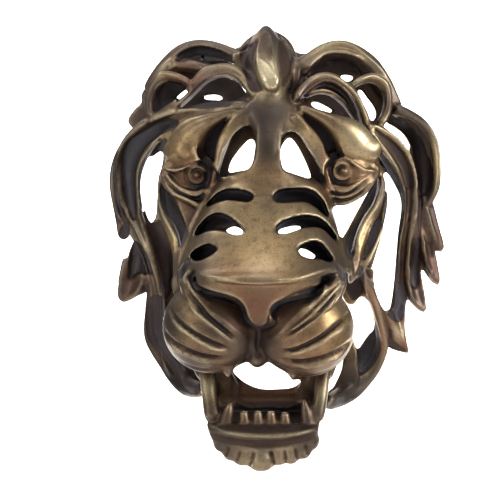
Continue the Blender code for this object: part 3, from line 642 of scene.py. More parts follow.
@dataclass
class Assembly:
    """Forms of the casting that are built, fused and marked together."""

    hollowed: dict[str, Plate] = field(default_factory=dict)
    hollows: list[Rows] = field(default_factory=list)
    hollow_floor: float = 0.0
    plates: dict[str, Plate] = field(default_factory=dict)
    locks: dict[str, Lock] = field(default_factory=dict)
    webs: dict[str, Web] = field(default_factory=dict)
    masses: dict[str, Mass] = field(default_factory=dict)
    teeth: list[Tooth] = field(default_factory=list)
    panels: list[Panel] = field(default_factory=list)

    def build(self, maker: Modeller) -> list[bpy.types.Object]:
        """Build each form.

        Args:
            maker: What makes the meshes.

        Returns:
            The closed forms, not yet in the scene.
        """
        cuts = [(outline, self.hollow_floor) for outline in self.hollows]
        out = [maker.hollowed(name, form, cuts) for name, form in self.hollowed.items()]
        for make, forms in ((maker.plate, self.plates), (maker.lock, self.locks),
                            (maker.web, self.webs), (maker.mass, self.masses)):
            out += [make(name, form) for name, form in forms.items()]
        return out + [maker.tooth("tooth", form) for form in self.teeth]

    def strokes(self) -> list[Stroke]:
        """List the lines cut and raised on it."""
        raise NotImplementedError


@dataclass
class Crown(Assembly):
    """The rim against the wall, the crest and the forehead, with the pad that hangs it."""

    pad_size: Row = (22.0, 13.0, 16.0)
    locks: dict[str, Lock] = field(default_factory=lambda: {
        "rim": Lock([
            (196, 60, 9, 14), (232, 62, 9, 12), (266, 52, 9, 14), (300, 66, 9, 12),
            (336, 60, 9, 14)], 0, 18, 0),
        "crest": Lock([
            (266, 31, 28, 4), (266, 42, 37, 24), (268, 56, 43, 37), (270, 72, 49, 30),
            (271, 88, 55, 23), (270, 104, 59, 27), (269, 122, 62, 18)], 0, 14, 0.55),
        "facet": Lock([
            (267, 33, 33, 5), (265, 46, 44, 10), (264, 58, 53, 11), (267, 70, 60, 12),
            (271, 82, 65, 11), (274, 92, 65, 6)], 0, 9, 0.05),
        "forehead": Lock([
            (270, 94, 59, 26), (270, 106, 61, 34), (269, 118, 64, 30), (268, 132, 67, 18),
            (268, 147, 69, 15), (268, 159, 69, 16), (268, 169, 69, 24), (268, 180, 68, 34),
            (268, 192, 64, 40)], 0, 9, 0.2),
    })
    # The first panel paints a highlight on the crest's facet; the rest paint shade round it.
    panels: list[Panel] = field(default_factory=lambda: [
        Panel([
            (257, 58), (264, 61), (271, 67), (276, 80), (275, 90), (267, 89), (260, 81),
            (256, 70)], -0.8, -1.0, 40),
        Panel([
            (279, 40), (287, 46), (294, 58), (292, 74), (284, 88), (280, 80),
            (278, 60)], 1.8, 0.4, 25),
        Panel([
            (240, 53), (252, 44), (258, 40), (254, 60), (256, 78), (262, 90), (250, 90),
            (244, 72)], 1.6, 0.5, 20),
        Panel([(261, 36), (268, 33), (272, 44), (272, 60), (262, 58), (258, 50)], 0.8, 0.25, 30),
    ])

    def build(self, maker: Modeller) -> list[bpy.types.Object]:
        """Build the crown and the pad that hangs it."""
        return super().build(maker) + [maker.pad(self.pad_size)]

    def strokes(self) -> list[Stroke]:
        """List the lines cut and raised on it.

        Returns:
            The strokes.
        """
        return (
            ridges([
                [(259, 128), (257.5, 145), (257, 162)],
                [(279, 130), (280, 146), (280, 164)]], 1.8, 0.8, 55)
            + ridges([
                [(268, 33), (272, 46), (274, 60), (277, 78), (277, 92)],
                [(281, 36), (288, 50), (291, 64), (287, 80)],
                [(258, 38), (250, 52), (249, 66)]], 2.2, 1.2, 25)
        )


@dataclass
class Mane(Assembly):
    """The loops over the brow and the long locks down both sides."""

    locks: dict[str, Lock] = field(default_factory=lambda: {
        "left arch": Lock([
            (247, 62, 34, 10), (232, 55, 30, 9), (215, 49, 27, 9), (199, 47, 24, 9),
            (184, 51, 22, 10), (171, 61, 20, 10), (158, 77, 18, 10),
            (148, 94, 16, 9)], 0, 11, 0.2),
        "left arch fold": Lock([
            (216, 71, 34, 7), (202, 68, 32, 8), (188, 65, 29, 9), (176, 66, 26, 9),
            (164, 74, 24, 9), (155, 86, 22, 7)], 0, 8, 0.2),
        "left small loop": Lock([
            (192, 84, 40, 4), (180, 78, 38, 5), (166, 76, 34, 6), (155, 84, 30, 6),
            (150, 98, 28, 6), (150, 112, 28, 6), (158, 119, 30, 6)], 0, 8, 0.2),
        "left big loop": Lock([
            (258, 100, 58, 6), (250, 86, 54, 8), (240, 75, 50, 9), (228, 70, 47, 9),
            (215, 71, 44, 9), (202, 78, 41, 9), (191, 91, 39, 7), (178, 103, 36, 6),
            (165, 112, 32, 6), (150, 121, 28, 5)], 1.5, 9, 0.3),
        "left long lock": Lock([
            (248, 106, 59, 6), (226, 107, 52, 8), (204, 110, 45, 10), (182, 116, 38, 10),
            (161, 125, 31, 15), (144, 138, 24, 21), (132, 153, 20, 25), (125, 170, 17, 26),
            (124, 190, 15, 25), (128, 210, 15, 21), (138, 232, 18, 14), (148, 255, 22, 11),
            (155, 280, 24, 10), (158, 305, 24, 9), (159, 326, 24, 8), (165, 345, 26, 7),
            (175, 362, 30, 6), (186, 377, 36, 5)], 5, 7, 0.15),
        "left side tuft": Lock([
            (139, 238, 15, 6), (137, 254, 12, 14), (135, 272, 11, 20), (130, 287, 9, 18),
            (122, 299, 8, 6)], 4, 8, 0.2),
        "left low lock": Lock([
            (153, 268, 13, 8), (155, 288, 13, 13), (154, 306, 13, 14), (153, 324, 14, 15),
            (154, 338, 15, 16), (160, 350, 18, 16), (168, 362, 21, 16), (177, 376, 26, 16),
            (187, 387, 36, 14), (201, 391, 54, 9)], 1, 8, 0.2),
        "left temple": Lock([
            (206, 116, 44, 8), (186, 124, 36, 9), (170, 138, 30, 8), (162, 156, 28, 6),
            (159, 180, 28, 5), (158, 200, 28, 5), (158, 222, 26, 6)], 0, 7, 0),
        "left cheek strand": Lock([
            (161, 178, 36, 5), (161, 196, 38, 5), (163, 212, 42, 6), (171, 229, 48, 7),
            (176, 245, 54, 6), (177, 262, 60, 5), (177, 280, 66, 6)], 0, 8, 0.2),
        "right arch": Lock([
            (296, 68, 38, 12), (308, 62, 33, 11), (322, 53, 29, 11), (338, 49, 26, 12),
            (354, 53, 24, 12), (370, 65, 21, 13), (382, 81, 18, 12), (391, 98, 16, 10),
            (398, 114, 15, 9)], 1.5, 11, 0.3),
        "right big loop": Lock([
            (294, 102, 58, 5), (301, 91, 54, 6), (312, 82, 51, 6), (324, 77, 48, 6),
            (337, 80, 45, 6), (350, 90, 42, 6), (360, 106, 40, 6), (367, 127, 38, 6)], 0, 9, 0.3),
        "right loop fold": Lock([
            (303, 96, 48, 5), (316, 89, 42, 7), (331, 90, 38, 8), (346, 101, 34, 8),
            (358, 117, 32, 8), (364, 127, 32, 8)], 1.5, 7, 0),
        "right small loop": Lock([
            (350, 87, 40, 4), (361, 80, 36, 5), (373, 78, 32, 6), (384, 85, 29, 6),
            (388, 99, 27, 6), (386, 114, 27, 6), (378, 127, 30, 6)], 0, 8, 0.3),
        "right long lock": Lock([
            (368, 127, 38, 7), (382, 137, 32, 12), (394, 152, 26, 15), (404, 173, 21, 16),
            (408, 198, 18, 14), (407, 224, 16, 13), (403, 250, 15, 12), (400, 276, 14, 12),
            (399, 300, 14, 11), (396, 322, 14, 11), (400, 338, 12, 9),
            (404, 348, 11, 4)], 2.5, 8, 0.15),
        "right brow lock": Lock([
            (372, 130, 36, 6), (380, 146, 30, 8), (388, 160, 26, 8), (398, 178, 22, 7),
            (404, 196, 20, 5)], 1.5, 7, 0),
        "right outer lock": Lock([
            (392, 108, 19, 6), (406, 115, 17, 8), (420, 125, 15, 9), (430, 140, 14, 9),
            (434, 160, 13, 8), (434, 180, 12, 7), (430, 196, 11, 6),
            (425, 206, 10, 4)], 0, 10, 0.2),
        "right first tuft": Lock([
            (424, 192, 9, 8), (427, 212, 10, 12), (432, 230, 9, 11), (438, 244, 8, 7),
            (441, 253, 7, 2)], 1, 9, 0.15),
        "right second tuft": Lock([
            (416, 205, 13, 6), (420, 228, 12, 10), (426, 250, 11, 13), (431, 267, 10, 10),
            (435, 278, 9, 6), (438, 286, 8, 2)], 2, 9, 0.2),
        "right third tuft": Lock([
            (409, 212, 16, 4), (409, 236, 14, 8), (411, 258, 13, 12), (413, 280, 12, 14),
            (417, 296, 11, 12), (421, 306, 10, 7), (424, 313, 9, 2)], 3, 9, 0.2),
        "right low lock": Lock([
            (360, 262, 54, 3), (364, 278, 48, 5), (371, 293, 40, 7), (378, 310, 30, 8),
            (382, 330, 24, 8), (382, 346, 21, 8), (377, 361, 20, 9), (367, 376, 22, 11),
            (355, 388, 26, 14), (342, 397, 34, 13), (327, 404, 52, 9)], 1, 8, 0.2),
        "right strand link": Lock([
            (376, 286, 36, 5), (384, 306, 24, 7), (392, 324, 17, 9),
            (398, 340, 13, 8)], 0, 7, 0.2),
        "right cheek strand": Lock([
            (381, 166, 36, 5), (382, 182, 40, 5), (378, 203, 46, 6), (369, 220, 50, 8),
            (362, 236, 54, 8), (357, 252, 58, 7), (354, 268, 62, 6),
            (350, 284, 64, 4)], 1, 8, 0.2),
        "right cheek fold": Lock([
            (386, 190, 32, 4), (384, 212, 36, 5), (377, 233, 44, 5), (370, 250, 50, 5),
            (363, 265, 54, 5), (354, 280, 58, 4)], 0, 8, 0.2),
    })

    webs: dict[str, Web] = field(default_factory=lambda: {
        "left arch channel": Web([
            (166, 66), (176, 55), (190, 49), (206, 48), (222, 53), (240, 62), (248, 72), (228, 70),
            (208, 73), (192, 68), (178, 68)], 12, 8),
        "left arch floor": Web([
            (150, 86), (160, 72), (176, 64), (196, 62), (214, 68), (206, 80), (194, 88), (180, 84),
            (164, 80)], 20, 8),
        "left crest side": Web([
            (232, 56), (250, 50), (264, 50), (264, 98), (250, 102), (246, 88), (240, 74)], 42, 10),
        "right crest side": Web([
            (272, 52), (288, 58), (299, 66), (300, 78), (296, 90), (290, 101),
            (272, 102)], 40, 10),
        "left ear tip": Web([
            (152, 82), (143, 91), (141, 97), (142, 102), (134, 110), (128, 119), (129, 124),
            (136, 130), (150, 124), (160, 114), (158, 98)], 14, 9),
        "left small inside": Web([
            (167, 78), (158, 84), (150, 94), (149, 106), (155, 117), (168, 114), (182, 106),
            (196, 94), (190, 82)], 12, 7),
        "left big inside": Web([
            (218, 76), (204, 82), (192, 92), (180, 104), (172, 110), (190, 113), (208, 113),
            (228, 109), (248, 100), (244, 90), (236, 81)], 18, 8),
        "left outer end": Web([
            (112, 176), (110, 190), (113, 208), (116, 224), (118, 236), (123, 240), (129, 237),
            (131, 226), (128, 212), (122, 196)], 12, 8),
        "left temple floor": Web([
            (134, 142), (146, 130), (164, 124), (176, 132), (172, 150), (160, 156), (146, 158),
            (138, 172), (132, 160)], 12, 8),
        "left cheek floor": Web([
            (144, 210), (154, 214), (162, 212), (174, 232), (182, 258), (180, 288), (172, 312),
            (166, 336), (156, 334), (150, 300), (148, 262), (142, 236)], 13, 8),
        "left low floor": Web([
            (158, 340), (166, 344), (178, 358), (200, 368), (208, 374), (208, 394), (194, 397),
            (184, 393), (174, 381), (164, 366)], 28, 9),
        "right arch inside": Web([
            (340, 46), (322, 52), (310, 62), (302, 76), (306, 84), (324, 82), (342, 84), (356, 82),
            (372, 80), (388, 90), (382, 74), (366, 58), (352, 48)], 16, 8),
        "right big inside": Web([
            (328, 76), (310, 84), (298, 98), (304, 110), (324, 117), (346, 122), (364, 132),
            (368, 120), (360, 102), (346, 86)], 20, 8),
        "right small inside": Web([
            (362, 80), (354, 88), (360, 102), (368, 118), (376, 130), (386, 118), (390, 102),
            (386, 86), (374, 80)], 14, 8),
        "right temple floor": Web([
            (360, 122), (376, 122), (392, 134), (404, 150), (414, 170), (408, 196), (396, 190),
            (386, 178), (368, 180), (362, 150)], 14, 8),
        "right channel": Web([
            (388, 112), (400, 114), (416, 124), (428, 142), (434, 166), (430, 196), (424, 206),
            (416, 196), (414, 172), (408, 148), (398, 130), (386, 122)], 8, 6),
        "left side floor": Web([
            (161, 176), (170, 184), (186, 198), (194, 226), (194, 244), (182, 266), (174, 250),
            (164, 228), (158, 205)], 30, 8),
        "right side floor": Web([
            (378, 178), (368, 192), (360, 206), (346, 232), (338, 246), (346, 262), (358, 268),
            (368, 244), (382, 216), (386, 196)], 30, 8),
        "right fold floor": Web([
            (384, 196), (374, 222), (364, 248), (358, 272), (368, 276), (378, 248), (386, 222),
            (388, 202)], 26, 8),
        "right low floor": Web([
            (377, 322), (366, 334), (353, 350), (352, 374), (362, 386), (378, 374), (386, 352),
            (386, 334)], 10, 8),
        "right low inside": Web([
            (350, 336), (356, 348), (359, 374), (354, 390), (340, 401), (328, 408), (324, 398),
            (334, 384), (342, 364), (345, 348)], 30, 10),
        "right link tuft": Web([
            (376, 290), (386, 309), (391, 315), (400, 311), (405, 305), (405, 330), (407, 343),
            (409, 353), (401, 352), (394, 350), (388, 346), (384, 330), (379, 310)], 17, 9),
        "right lip floor": Web([
            (340, 262), (352, 258), (364, 266), (376, 272), (378, 292), (368, 301), (363, 296),
            (358, 299), (353, 305), (346, 303), (341, 293), (338, 280)], 40, 10),
        "left side tuft tip": Web([
            (125, 258), (120, 274), (118.5, 284), (117.5, 291), (118, 298), (122.5, 302.5),
            (130, 300.5), (139, 295.5), (147, 291.5), (150, 280), (140, 268)], 9, 8),
        "crest right wing": Web([
            (270, 32), (279, 33), (288, 39), (293, 46), (296, 54), (299, 63), (300, 74), (288, 76),
            (274, 60)], 33, 9),
        "crest left wing": Web([
            (237, 53), (244, 42), (256, 33), (264, 34), (262, 50), (254, 62), (242, 64)], 33, 9),
        "right arch root": Web([
            (294, 66), (303, 70), (308, 80), (304, 98), (296, 102), (288, 90)], 30, 8),
    })
    # These panels paint shade in the channels along the locks and inside the loops.
    panels: list[Panel] = field(default_factory=lambda: [
        Panel([
            (177, 120.5), (170, 119.5), (161, 122), (151, 126), (139, 133), (129, 140), (124, 149),
            (122, 160), (121.5, 173), (122.5, 185), (124.5, 196), (127.5, 207), (131.5, 217),
            (134.5, 220.5), (135.5, 211), (135, 197), (134.5, 180), (136, 168), (139.5, 157),
            (145.5, 146), (154.5, 139.5), (163, 134), (172, 129.5), (178, 124)], 2.2, 0.75, 0, 50),
        Panel([
            (166, 139), (157, 143), (150, 150), (144.5, 159), (140.5, 168), (138.5, 180),
            (138.5, 192), (140.5, 205), (143.5, 216), (149, 224.5), (152, 224), (147, 215),
            (143.5, 202), (142, 190), (143, 180), (146, 171), (151, 163), (157, 155),
            (164, 150)], 1.2, 0.8, 0, 50),
        Panel([
            (119, 150), (115, 160), (113.2, 171), (113.5, 181), (115, 191), (116.5, 201),
            (118.5, 211), (120.5, 217), (122.5, 211), (120.5, 204), (118.5, 195), (116.8, 185),
            (115.8, 175), (115.8, 165), (117.5, 156)], 1.2, 0.8, 0, 40),
        Panel([
            (119.5, 240), (119.5, 232), (124, 223), (128.5, 222), (129, 231),
            (127, 239)], 1.5, 0.6, 0, 30),
        Panel([
            (134, 240), (142.5, 247.5), (148.5, 257.5), (152, 268), (152.5, 274), (146, 274),
            (139, 273.5), (132.5, 275), (129.5, 281), (128.5, 272), (129.8, 257),
            (131.5, 246)], 2.2, 0.6, 0, 30),
        Panel([
            (149, 225), (159, 223), (165, 232), (170, 247), (174, 263), (174, 281), (169, 293),
            (164, 299), (161, 290), (159, 276), (155.5, 260), (152, 241)], 1.0, 0.55, 0, 45),
        Panel([
            (160.6, 184), (166, 192.5), (175, 199), (180, 212), (185, 225), (188, 233), (185, 241),
            (181, 249), (178.8, 235), (173.8, 224), (165, 212.5),
            (160.6, 202)], 0.8, 0.75, 20, 70),
        Panel([
            (393, 118), (402.5, 119), (412.5, 123.5), (422, 133), (428, 144), (431, 156),
            (431.5, 169), (431, 181), (430, 190), (426, 194), (421.5, 194), (421, 181), (419, 170),
            (415.5, 159), (413, 150), (409, 139), (401, 131), (394, 125.5)], 2.2, 0.4, 0, 40),
        Panel([
            (376, 128), (382, 133.5), (391.5, 140.5), (400, 148.5), (406.5, 156), (411.5, 165),
            (414, 175), (414.5, 185), (410, 189), (406, 185), (403.5, 175), (398.8, 164),
            (391, 152.5), (382.5, 142.5), (377, 135)], 1.8, 0.5, 0, 60),
        Panel([
            (380.6, 152.5), (387.5, 159), (395, 170), (400, 180), (403.5, 190), (405, 201),
            (404.5, 213), (402, 226), (399.5, 238), (398.5, 250), (398.5, 262), (397.5, 285),
            (393, 285), (393.5, 268), (394.6, 250), (397.5, 231), (400.6, 213), (400.6, 200),
            (397.5, 190), (391, 179), (385, 172), (381.5, 166)], 1.6, 0.75, 0, 50),
        Panel([
            (419.5, 196), (422, 200), (421, 215), (420.5, 232), (419.5, 248), (419, 262),
            (419.5, 276), (417, 288), (411.5, 284), (412.5, 268), (415, 252), (418, 238),
            (419.5, 220)], 1.2, 0.7, 0, 40),
        Panel([
            (422, 250), (426, 258), (429.5, 268), (430, 277), (426, 272),
            (423, 262)], 1.0, 0.5, 0, 40),
        Panel([
            (380, 181), (378, 191), (371, 205), (362, 219), (357, 230), (354, 242), (353, 258),
            (348, 257), (345, 243), (350, 229), (360, 213), (366, 197),
            (372, 188)], 0.8, 0.8, 20, 70),
        Panel([
            (373, 223), (380, 217), (382, 222), (378, 236), (372, 250), (367, 255), (368, 242),
            (370, 231)], 1.5, 0.75, 20, 70),
        Panel([
            (386, 190), (388, 200), (387, 214), (383, 230), (382, 226), (384, 212),
            (384.5, 199)], 1.0, 0.6, 10, 60),
        Panel([
            (181, 107), (190, 94), (199, 84), (211, 77.5), (225, 76), (237, 80.5), (247, 93),
            (243, 105), (222, 107), (204, 109), (190, 108)], 0.4, 0.6, 0, 56),
        Panel([
            (313, 93), (325, 92), (338, 98), (350, 110), (358, 122), (346, 119), (330, 113),
            (316, 106)], 0.4, 0.55, 0, 40),
        Panel([
            (362, 296), (368, 303), (374, 318), (379, 334), (380, 350), (374, 364), (364, 373),
            (359, 373), (357, 352), (366, 336), (371, 327), (366, 312)], 1.2, 0.75, 0, 50),
        Panel([(389, 337), (396, 343), (407, 351), (396, 350), (389, 346)], 0.6, 0.6, 0, 30),
        Panel([
            (394, 285), (405, 285), (406, 305), (403, 318), (396, 322), (388, 316), (388, 311),
            (392, 306)], 0.8, 0.65, 0, 40),
        Panel([
            (344, 282), (350, 262), (358, 262), (364, 274), (362, 292),
            (352, 300)], 0.8, 0.6, 0, 60),
        Panel([
            (152, 296), (165, 300), (164, 330), (172, 352), (190, 372), (205, 380), (202, 392),
            (190, 394), (176, 378), (160, 352), (148, 338), (146, 312)], 0.6, 0.55, 0, 60),
        Panel([
            (154, 102), (157.5, 88), (167, 81.5), (182, 84), (185, 90), (172.5, 103),
            (160, 112)], 0.6, 0.6, 0, 30),
        Panel([
            (309, 75), (314, 62), (326, 54.5), (341, 53), (356, 57), (369, 66), (378, 76),
            (365, 73.5), (350, 72), (330, 75), (316, 78)], 0.6, 0.5, 0, 34),
        Panel([
            (176, 59), (185, 50.5), (200, 46.5), (217, 49), (232, 57.5), (235, 62.5), (217.5, 61),
            (205, 61), (192.5, 59.5), (178, 61)], 1.0, 0.7, 0, 40),
    ])

    def strokes(self) -> list[Stroke]:
        """List the rims, channels and folds along the locks.

        Returns:
            The strokes.
        """
        rims = [
            [(236, 55), (221, 50), (200, 45), (184, 49), (171, 60), (159, 74), (149, 89)],
            [(203, 66), (191, 61), (178, 63), (168, 70)],
            [(254, 93), (248, 81), (238, 71), (225, 66), (212, 67), (201, 73), (191, 84)],
            [(236, 106), (205, 109), (172, 112), (151, 119), (136, 130), (125, 142), (117, 156),
             (113, 171), (112, 190), (114, 210)],
            [(158, 141), (146, 153), (139, 169), (138, 188), (141, 206), (147, 221)],
            [(121, 165), (120, 185), (122, 200), (130, 216), (139, 233), (148, 252), (153, 270),
             (156, 286)],
            [(130, 240), (125, 258), (121, 276), (120, 293)], [(132, 279), (142, 275), (151, 277)],
            [(300, 64), (312, 53), (324, 46), (338, 43), (352, 46), (366, 56), (380, 69),
             (390, 84), (396, 98)],
            [(307, 76), (309, 67), (316, 59), (327, 53), (340, 52), (354, 55), (366, 62)],
            [(298, 95), (303, 86), (312, 79), (322, 75), (334, 77), (347, 86), (357, 97),
             (363, 110), (367, 124)],
            [(311, 91), (325, 90), (338, 96), (350, 107)],
            [(352, 85), (362, 79), (373, 76), (384, 82), (389, 96), (388, 112)],
            [(374, 127), (388, 133), (402, 147), (411, 162), (416, 182), (417, 202), (414, 225),
             (410, 250), (408, 275), (409, 296)],
            [(373, 134), (382, 147), (393, 163), (402, 180)],
            [(404, 113), (420, 121), (432, 136), (436, 152), (437, 168), (436, 182), (433, 196),
             (428, 203)],
            [(421, 236), (424, 255), (428, 273)],
            [(377, 287), (383, 303), (391, 318), (400, 335), (404, 346)],
            [(366, 278), (376, 300), (382, 322), (386, 345), (380, 365), (368, 383), (350, 398)],
            [(357, 350), (358, 362), (361, 373)]]
        sharp = [
            [(196, 108), (177, 112), (160, 117), (143, 124), (130, 135), (121, 149), (116, 165),
             (115, 181), (118, 197), (124, 210), (131, 221), (139, 235), (148, 251), (154, 268),
             (158, 288), (160, 306)],
            [(181, 121), (166, 129), (154, 142), (146, 159), (140, 178), (139, 197), (140, 211),
             (135, 222)],
            [(380, 128), (396, 139), (407, 155), (413, 174), (414, 196), (411, 222), (408, 250),
             (406, 276), (410, 296)],
            [(413, 118), (426, 127), (435, 142), (438, 160), (438, 182), (434, 196), (428, 203)],
            [(423, 232), (423, 250), (428, 268), (434, 280)], [(410, 262), (409, 284), (414, 302)],
            [(426, 206), (431, 226), (438, 244)]]
        edges = [
            [(160, 198), (163, 214), (170, 228), (177, 241), (179, 252)],
            [(380, 190), (376, 206), (366, 221), (359, 236), (357, 250)],
            [(385, 215), (380, 238), (372, 256), (363, 270)]]
        channels = [
            [(228, 60), (212, 55), (196, 54), (183, 58), (174, 66)],
            [(176, 120), (160, 126), (145, 136), (134, 149), (127, 164), (126, 180), (128, 198),
             (132, 214)],
            [(136, 250), (134, 268), (131, 282)],
            [(398, 118), (411, 127), (420, 142), (424, 160), (426, 180), (426, 196)],
            [(416, 235), (415, 255), (415, 275), (418, 292)], [(372, 350), (366, 362), (360, 373)]]
        folds = [
            [(150, 300), (149, 325), (153, 342), (166, 362), (182, 384)],
            [(165, 245), (168, 270), (166, 292)],
            [(384, 140), (397, 155), (406, 172), (410, 195), (409, 220), (404, 250), (402, 280)],
            [(383, 208), (377, 222), (370, 237), (366, 250), (362, 262)], [(122, 205), (124, 225)],
            [(428, 240), (433, 258)]]
        return (
            ridges(rims, 2.3, 1.3, 0, 62)
            + ridges(sharp, 1.7, 1.6, 0, 62)
            + ridges(edges, 2.3, 1.2, 30, 75)
            + grooves(channels, 6.0, 2.4, 0, 50)
            + grooves(folds, 3.2, 1.6, 0, 70)
        )


@dataclass
class Eyes(Assembly):
    """The brows, ribs, eyes and their lids."""

    locks: dict[str, Lock] = field(default_factory=lambda: {
        "left brow": Lock([
            (240, 110, 61, 3), (224, 115, 61, 6), (207, 122, 60, 12), (194, 131, 57, 20),
            (187, 142, 55, 25), (186, 153, 54, 26), (185, 162, 50, 22)], 0, 8, 0.45),
        "right brow": Lock([
            (298, 107, 61, 4), (314, 113, 62, 7), (330, 121, 62, 11), (345, 131, 60, 20),
            (354, 141, 58, 25), (359, 151, 56, 26), (361, 161, 51, 21)], 0, 8, 0.45),
        "left rib": Lock([
            (254, 110, 62, 7), (239, 117, 62, 7), (229, 130, 61, 7), (223, 146, 58, 6),
            (218, 162, 55, 5), (215, 178, 54, 5), (212, 192, 54, 6)], 0, 9, 0.3),
        "right rib": Lock([
            (292, 113, 62, 8), (302, 125, 62, 7), (311, 139, 60, 6), (318, 152, 57, 5),
            (323, 165, 55, 5), (327, 180, 55, 5), (329, 194, 54, 5)], 0, 9, 0.3),
        "left upper lid": Lock([
            (209, 173, 57, 3), (203, 168, 58, 3), (194, 166, 58, 3), (184, 168, 57, 3),
            (175, 170, 54, 3), (166, 169, 50, 3)], 0, 5, 0.2),
        "left lower lid": Lock([
            (166, 174, 50, 3), (174, 184, 54, 3), (184, 190, 56, 3), (196, 193, 57, 3),
            (207, 188, 57, 3)], 0, 5, 0.2),
        "left pouch": Lock([
            (163, 170, 48, 4), (166, 184, 49, 5), (177, 194, 51, 5), (189, 200, 53, 5),
            (198, 205, 54, 5), (204, 211, 55, 4)], 0, 7, 0.3),
        "right upper lid": Lock([
            (330, 169, 57, 3), (336, 162, 58, 3), (345, 159, 59, 3), (354, 163, 58, 3),
            (364, 169, 55, 3), (376, 171, 51, 3)], 0, 5, 0.2),
        "right lower lid": Lock([
            (329, 184, 56, 3), (338, 188, 57, 3), (349, 188, 57, 3), (357, 184, 56, 3),
            (364, 179, 54, 3), (375, 174, 50, 3)], 0, 5, 0.2),
        "right pouch": Lock([
            (329, 194, 53, 3), (341, 196, 54, 4), (353, 193, 53, 4), (363, 185, 52, 4),
            (374, 176, 50, 3)], 0, 6, 0.3),
        "right low pouch": Lock([
            (331, 203, 52, 4), (345, 202, 52, 4), (357, 197, 51, 5), (368, 186, 49, 5),
            (378, 172, 46, 4)], 0, 7, 0.3),
    })
    hollowed: dict[str, Plate] = field(default_factory=lambda: {
        "forehead shell": Plate([
            (94, 246, 292, 57, 52), (102, 230, 306, 60, 48), (111, 210, 324, 64, 44),
            (122, 193, 344, 67, 40), (134, 179, 364, 69, 37), (148, 169, 376, 71, 35),
            (160, 165, 379, 73, 35), (170, 164, 381, 75, 36), (178, 166, 380, 76, 38)], 2.0, 9),
    })
    hollows: list[Rows] = field(default_factory=lambda: [
        [(237, 111), (229, 112), (219, 116), (210, 122), (203, 131), (199, 140), (197, 148),
         (198, 156), (204, 162), (213, 164), (215, 152), (217, 142), (222, 130), (229, 119)],
        [(249, 125), (242, 127), (233, 135), (225, 147), (221, 160), (219, 176), (228, 176),
         (241, 172), (250, 168), (254, 156), (256, 142), (256, 131)],
        [(291, 131), (285, 133), (281, 141), (280, 152), (281, 164), (285, 171), (300, 178),
         (312, 182), (322, 188), (323, 177), (318, 165), (309, 150), (302, 139), (297, 133)],
        [(299, 111), (305, 112), (315, 116), (325, 123), (333, 132), (339, 143), (342, 150),
         (343, 157), (336, 163), (327, 155), (323, 143), (315, 131), (307, 122), (301, 116)],
        [(156, 166), (164, 166), (173, 168), (183, 166), (193, 163), (204, 161), (212, 165),
         (219, 176), (220, 192), (190, 200), (156, 192)],
        [(324, 176), (326, 165), (331, 159), (338, 156), (346, 156), (356, 161), (366, 167),
         (376, 170), (388, 168), (388, 192), (350, 200), (326, 194)]])
    webs: dict[str, Web] = field(default_factory=lambda: {
        "left brow floor": Web([
            (240, 108), (222, 110), (202, 124), (196, 142), (202, 160), (212, 170), (222, 160),
            (226, 140), (234, 124)], 42, 7),
        "right brow floor": Web([
            (295, 108), (312, 110), (334, 124), (342, 142), (338, 158), (326, 168), (318, 150),
            (310, 134), (300, 120)], 42, 7),
        "left wall": Web([
            (250, 118), (236, 126), (224, 142), (215, 162), (213, 182), (224, 182), (250, 172),
            (262, 150), (262, 124)], 44, 10),
        "right wall": Web([
            (288, 122), (306, 134), (320, 154), (328, 180), (324, 194), (300, 184), (280, 174),
            (276, 150), (276, 130)], 44, 10),
        "left eye floor": Web([
            (164, 164), (176, 158), (196, 155), (211, 158), (217, 172), (214, 188), (205, 202),
            (194, 206), (180, 199), (168, 190), (163, 178)], 50, 9),
        "right eye floor": Web([
            (328, 154), (344, 150), (364, 158), (379, 167), (377, 177), (368, 190), (355, 199),
            (341, 203), (330, 204), (325, 190), (325, 170)], 50, 9),
        "left cheek plane": Web([
            (172, 194), (186, 200), (199, 207), (203, 214), (197, 226), (190, 238), (186, 230),
            (180, 214)], 50, 8),
    })
    masses: dict[str, Mass] = field(default_factory=lambda: {
        "left eye": Mass((196, 176, 52), (7, 6, 7)),
        "left eye bulge": Mass((193, 179, 43), (15, 14, 11)),
        "left brow bulge": Mass((184, 150, 48), (14, 8.5, 9.5)),
        "right brow bulge": Mass((361, 150, 49), (13, 9, 9.5)),
        "right eye": Mass((341, 172, 53), (7, 6, 7)),
        "right eye bulge": Mass((350, 176, 44), (15, 14, 11)),
    })
    # The panel paints shade over the left eye.
    panels: list[Panel] = field(default_factory=lambda: [
        Panel([
            (174, 177), (180, 170.5), (187, 167), (196, 165), (206, 167), (211, 173), (210, 182),
            (205, 189), (195, 189.5), (185, 187), (178, 183)], 0.4, 0.3, 30),
    ])
    hollow_floor: float = 30.0
    pupils: Rows = field(default_factory=lambda: [(197, 175), (342, 171)])
    pupil_radius: float = 2.6
    iris_radius: float = 8.2
    ring_gap: float = 3.2
    ring_sides: int = 16

    def ring(self, centre: Row, radius: float) -> Rows:
        """Lay a circle round a pupil.

        Args:
            centre: The pupil's middle.
            radius: The circle's radius.

        Returns:
            The circle as a line.
        """
        turns = [2 * math.pi * k / self.ring_sides for k in range(self.ring_sides + 1)]
        return [(centre[0] + radius * math.cos(t), centre[1] + radius * math.sin(t))
                for t in turns]

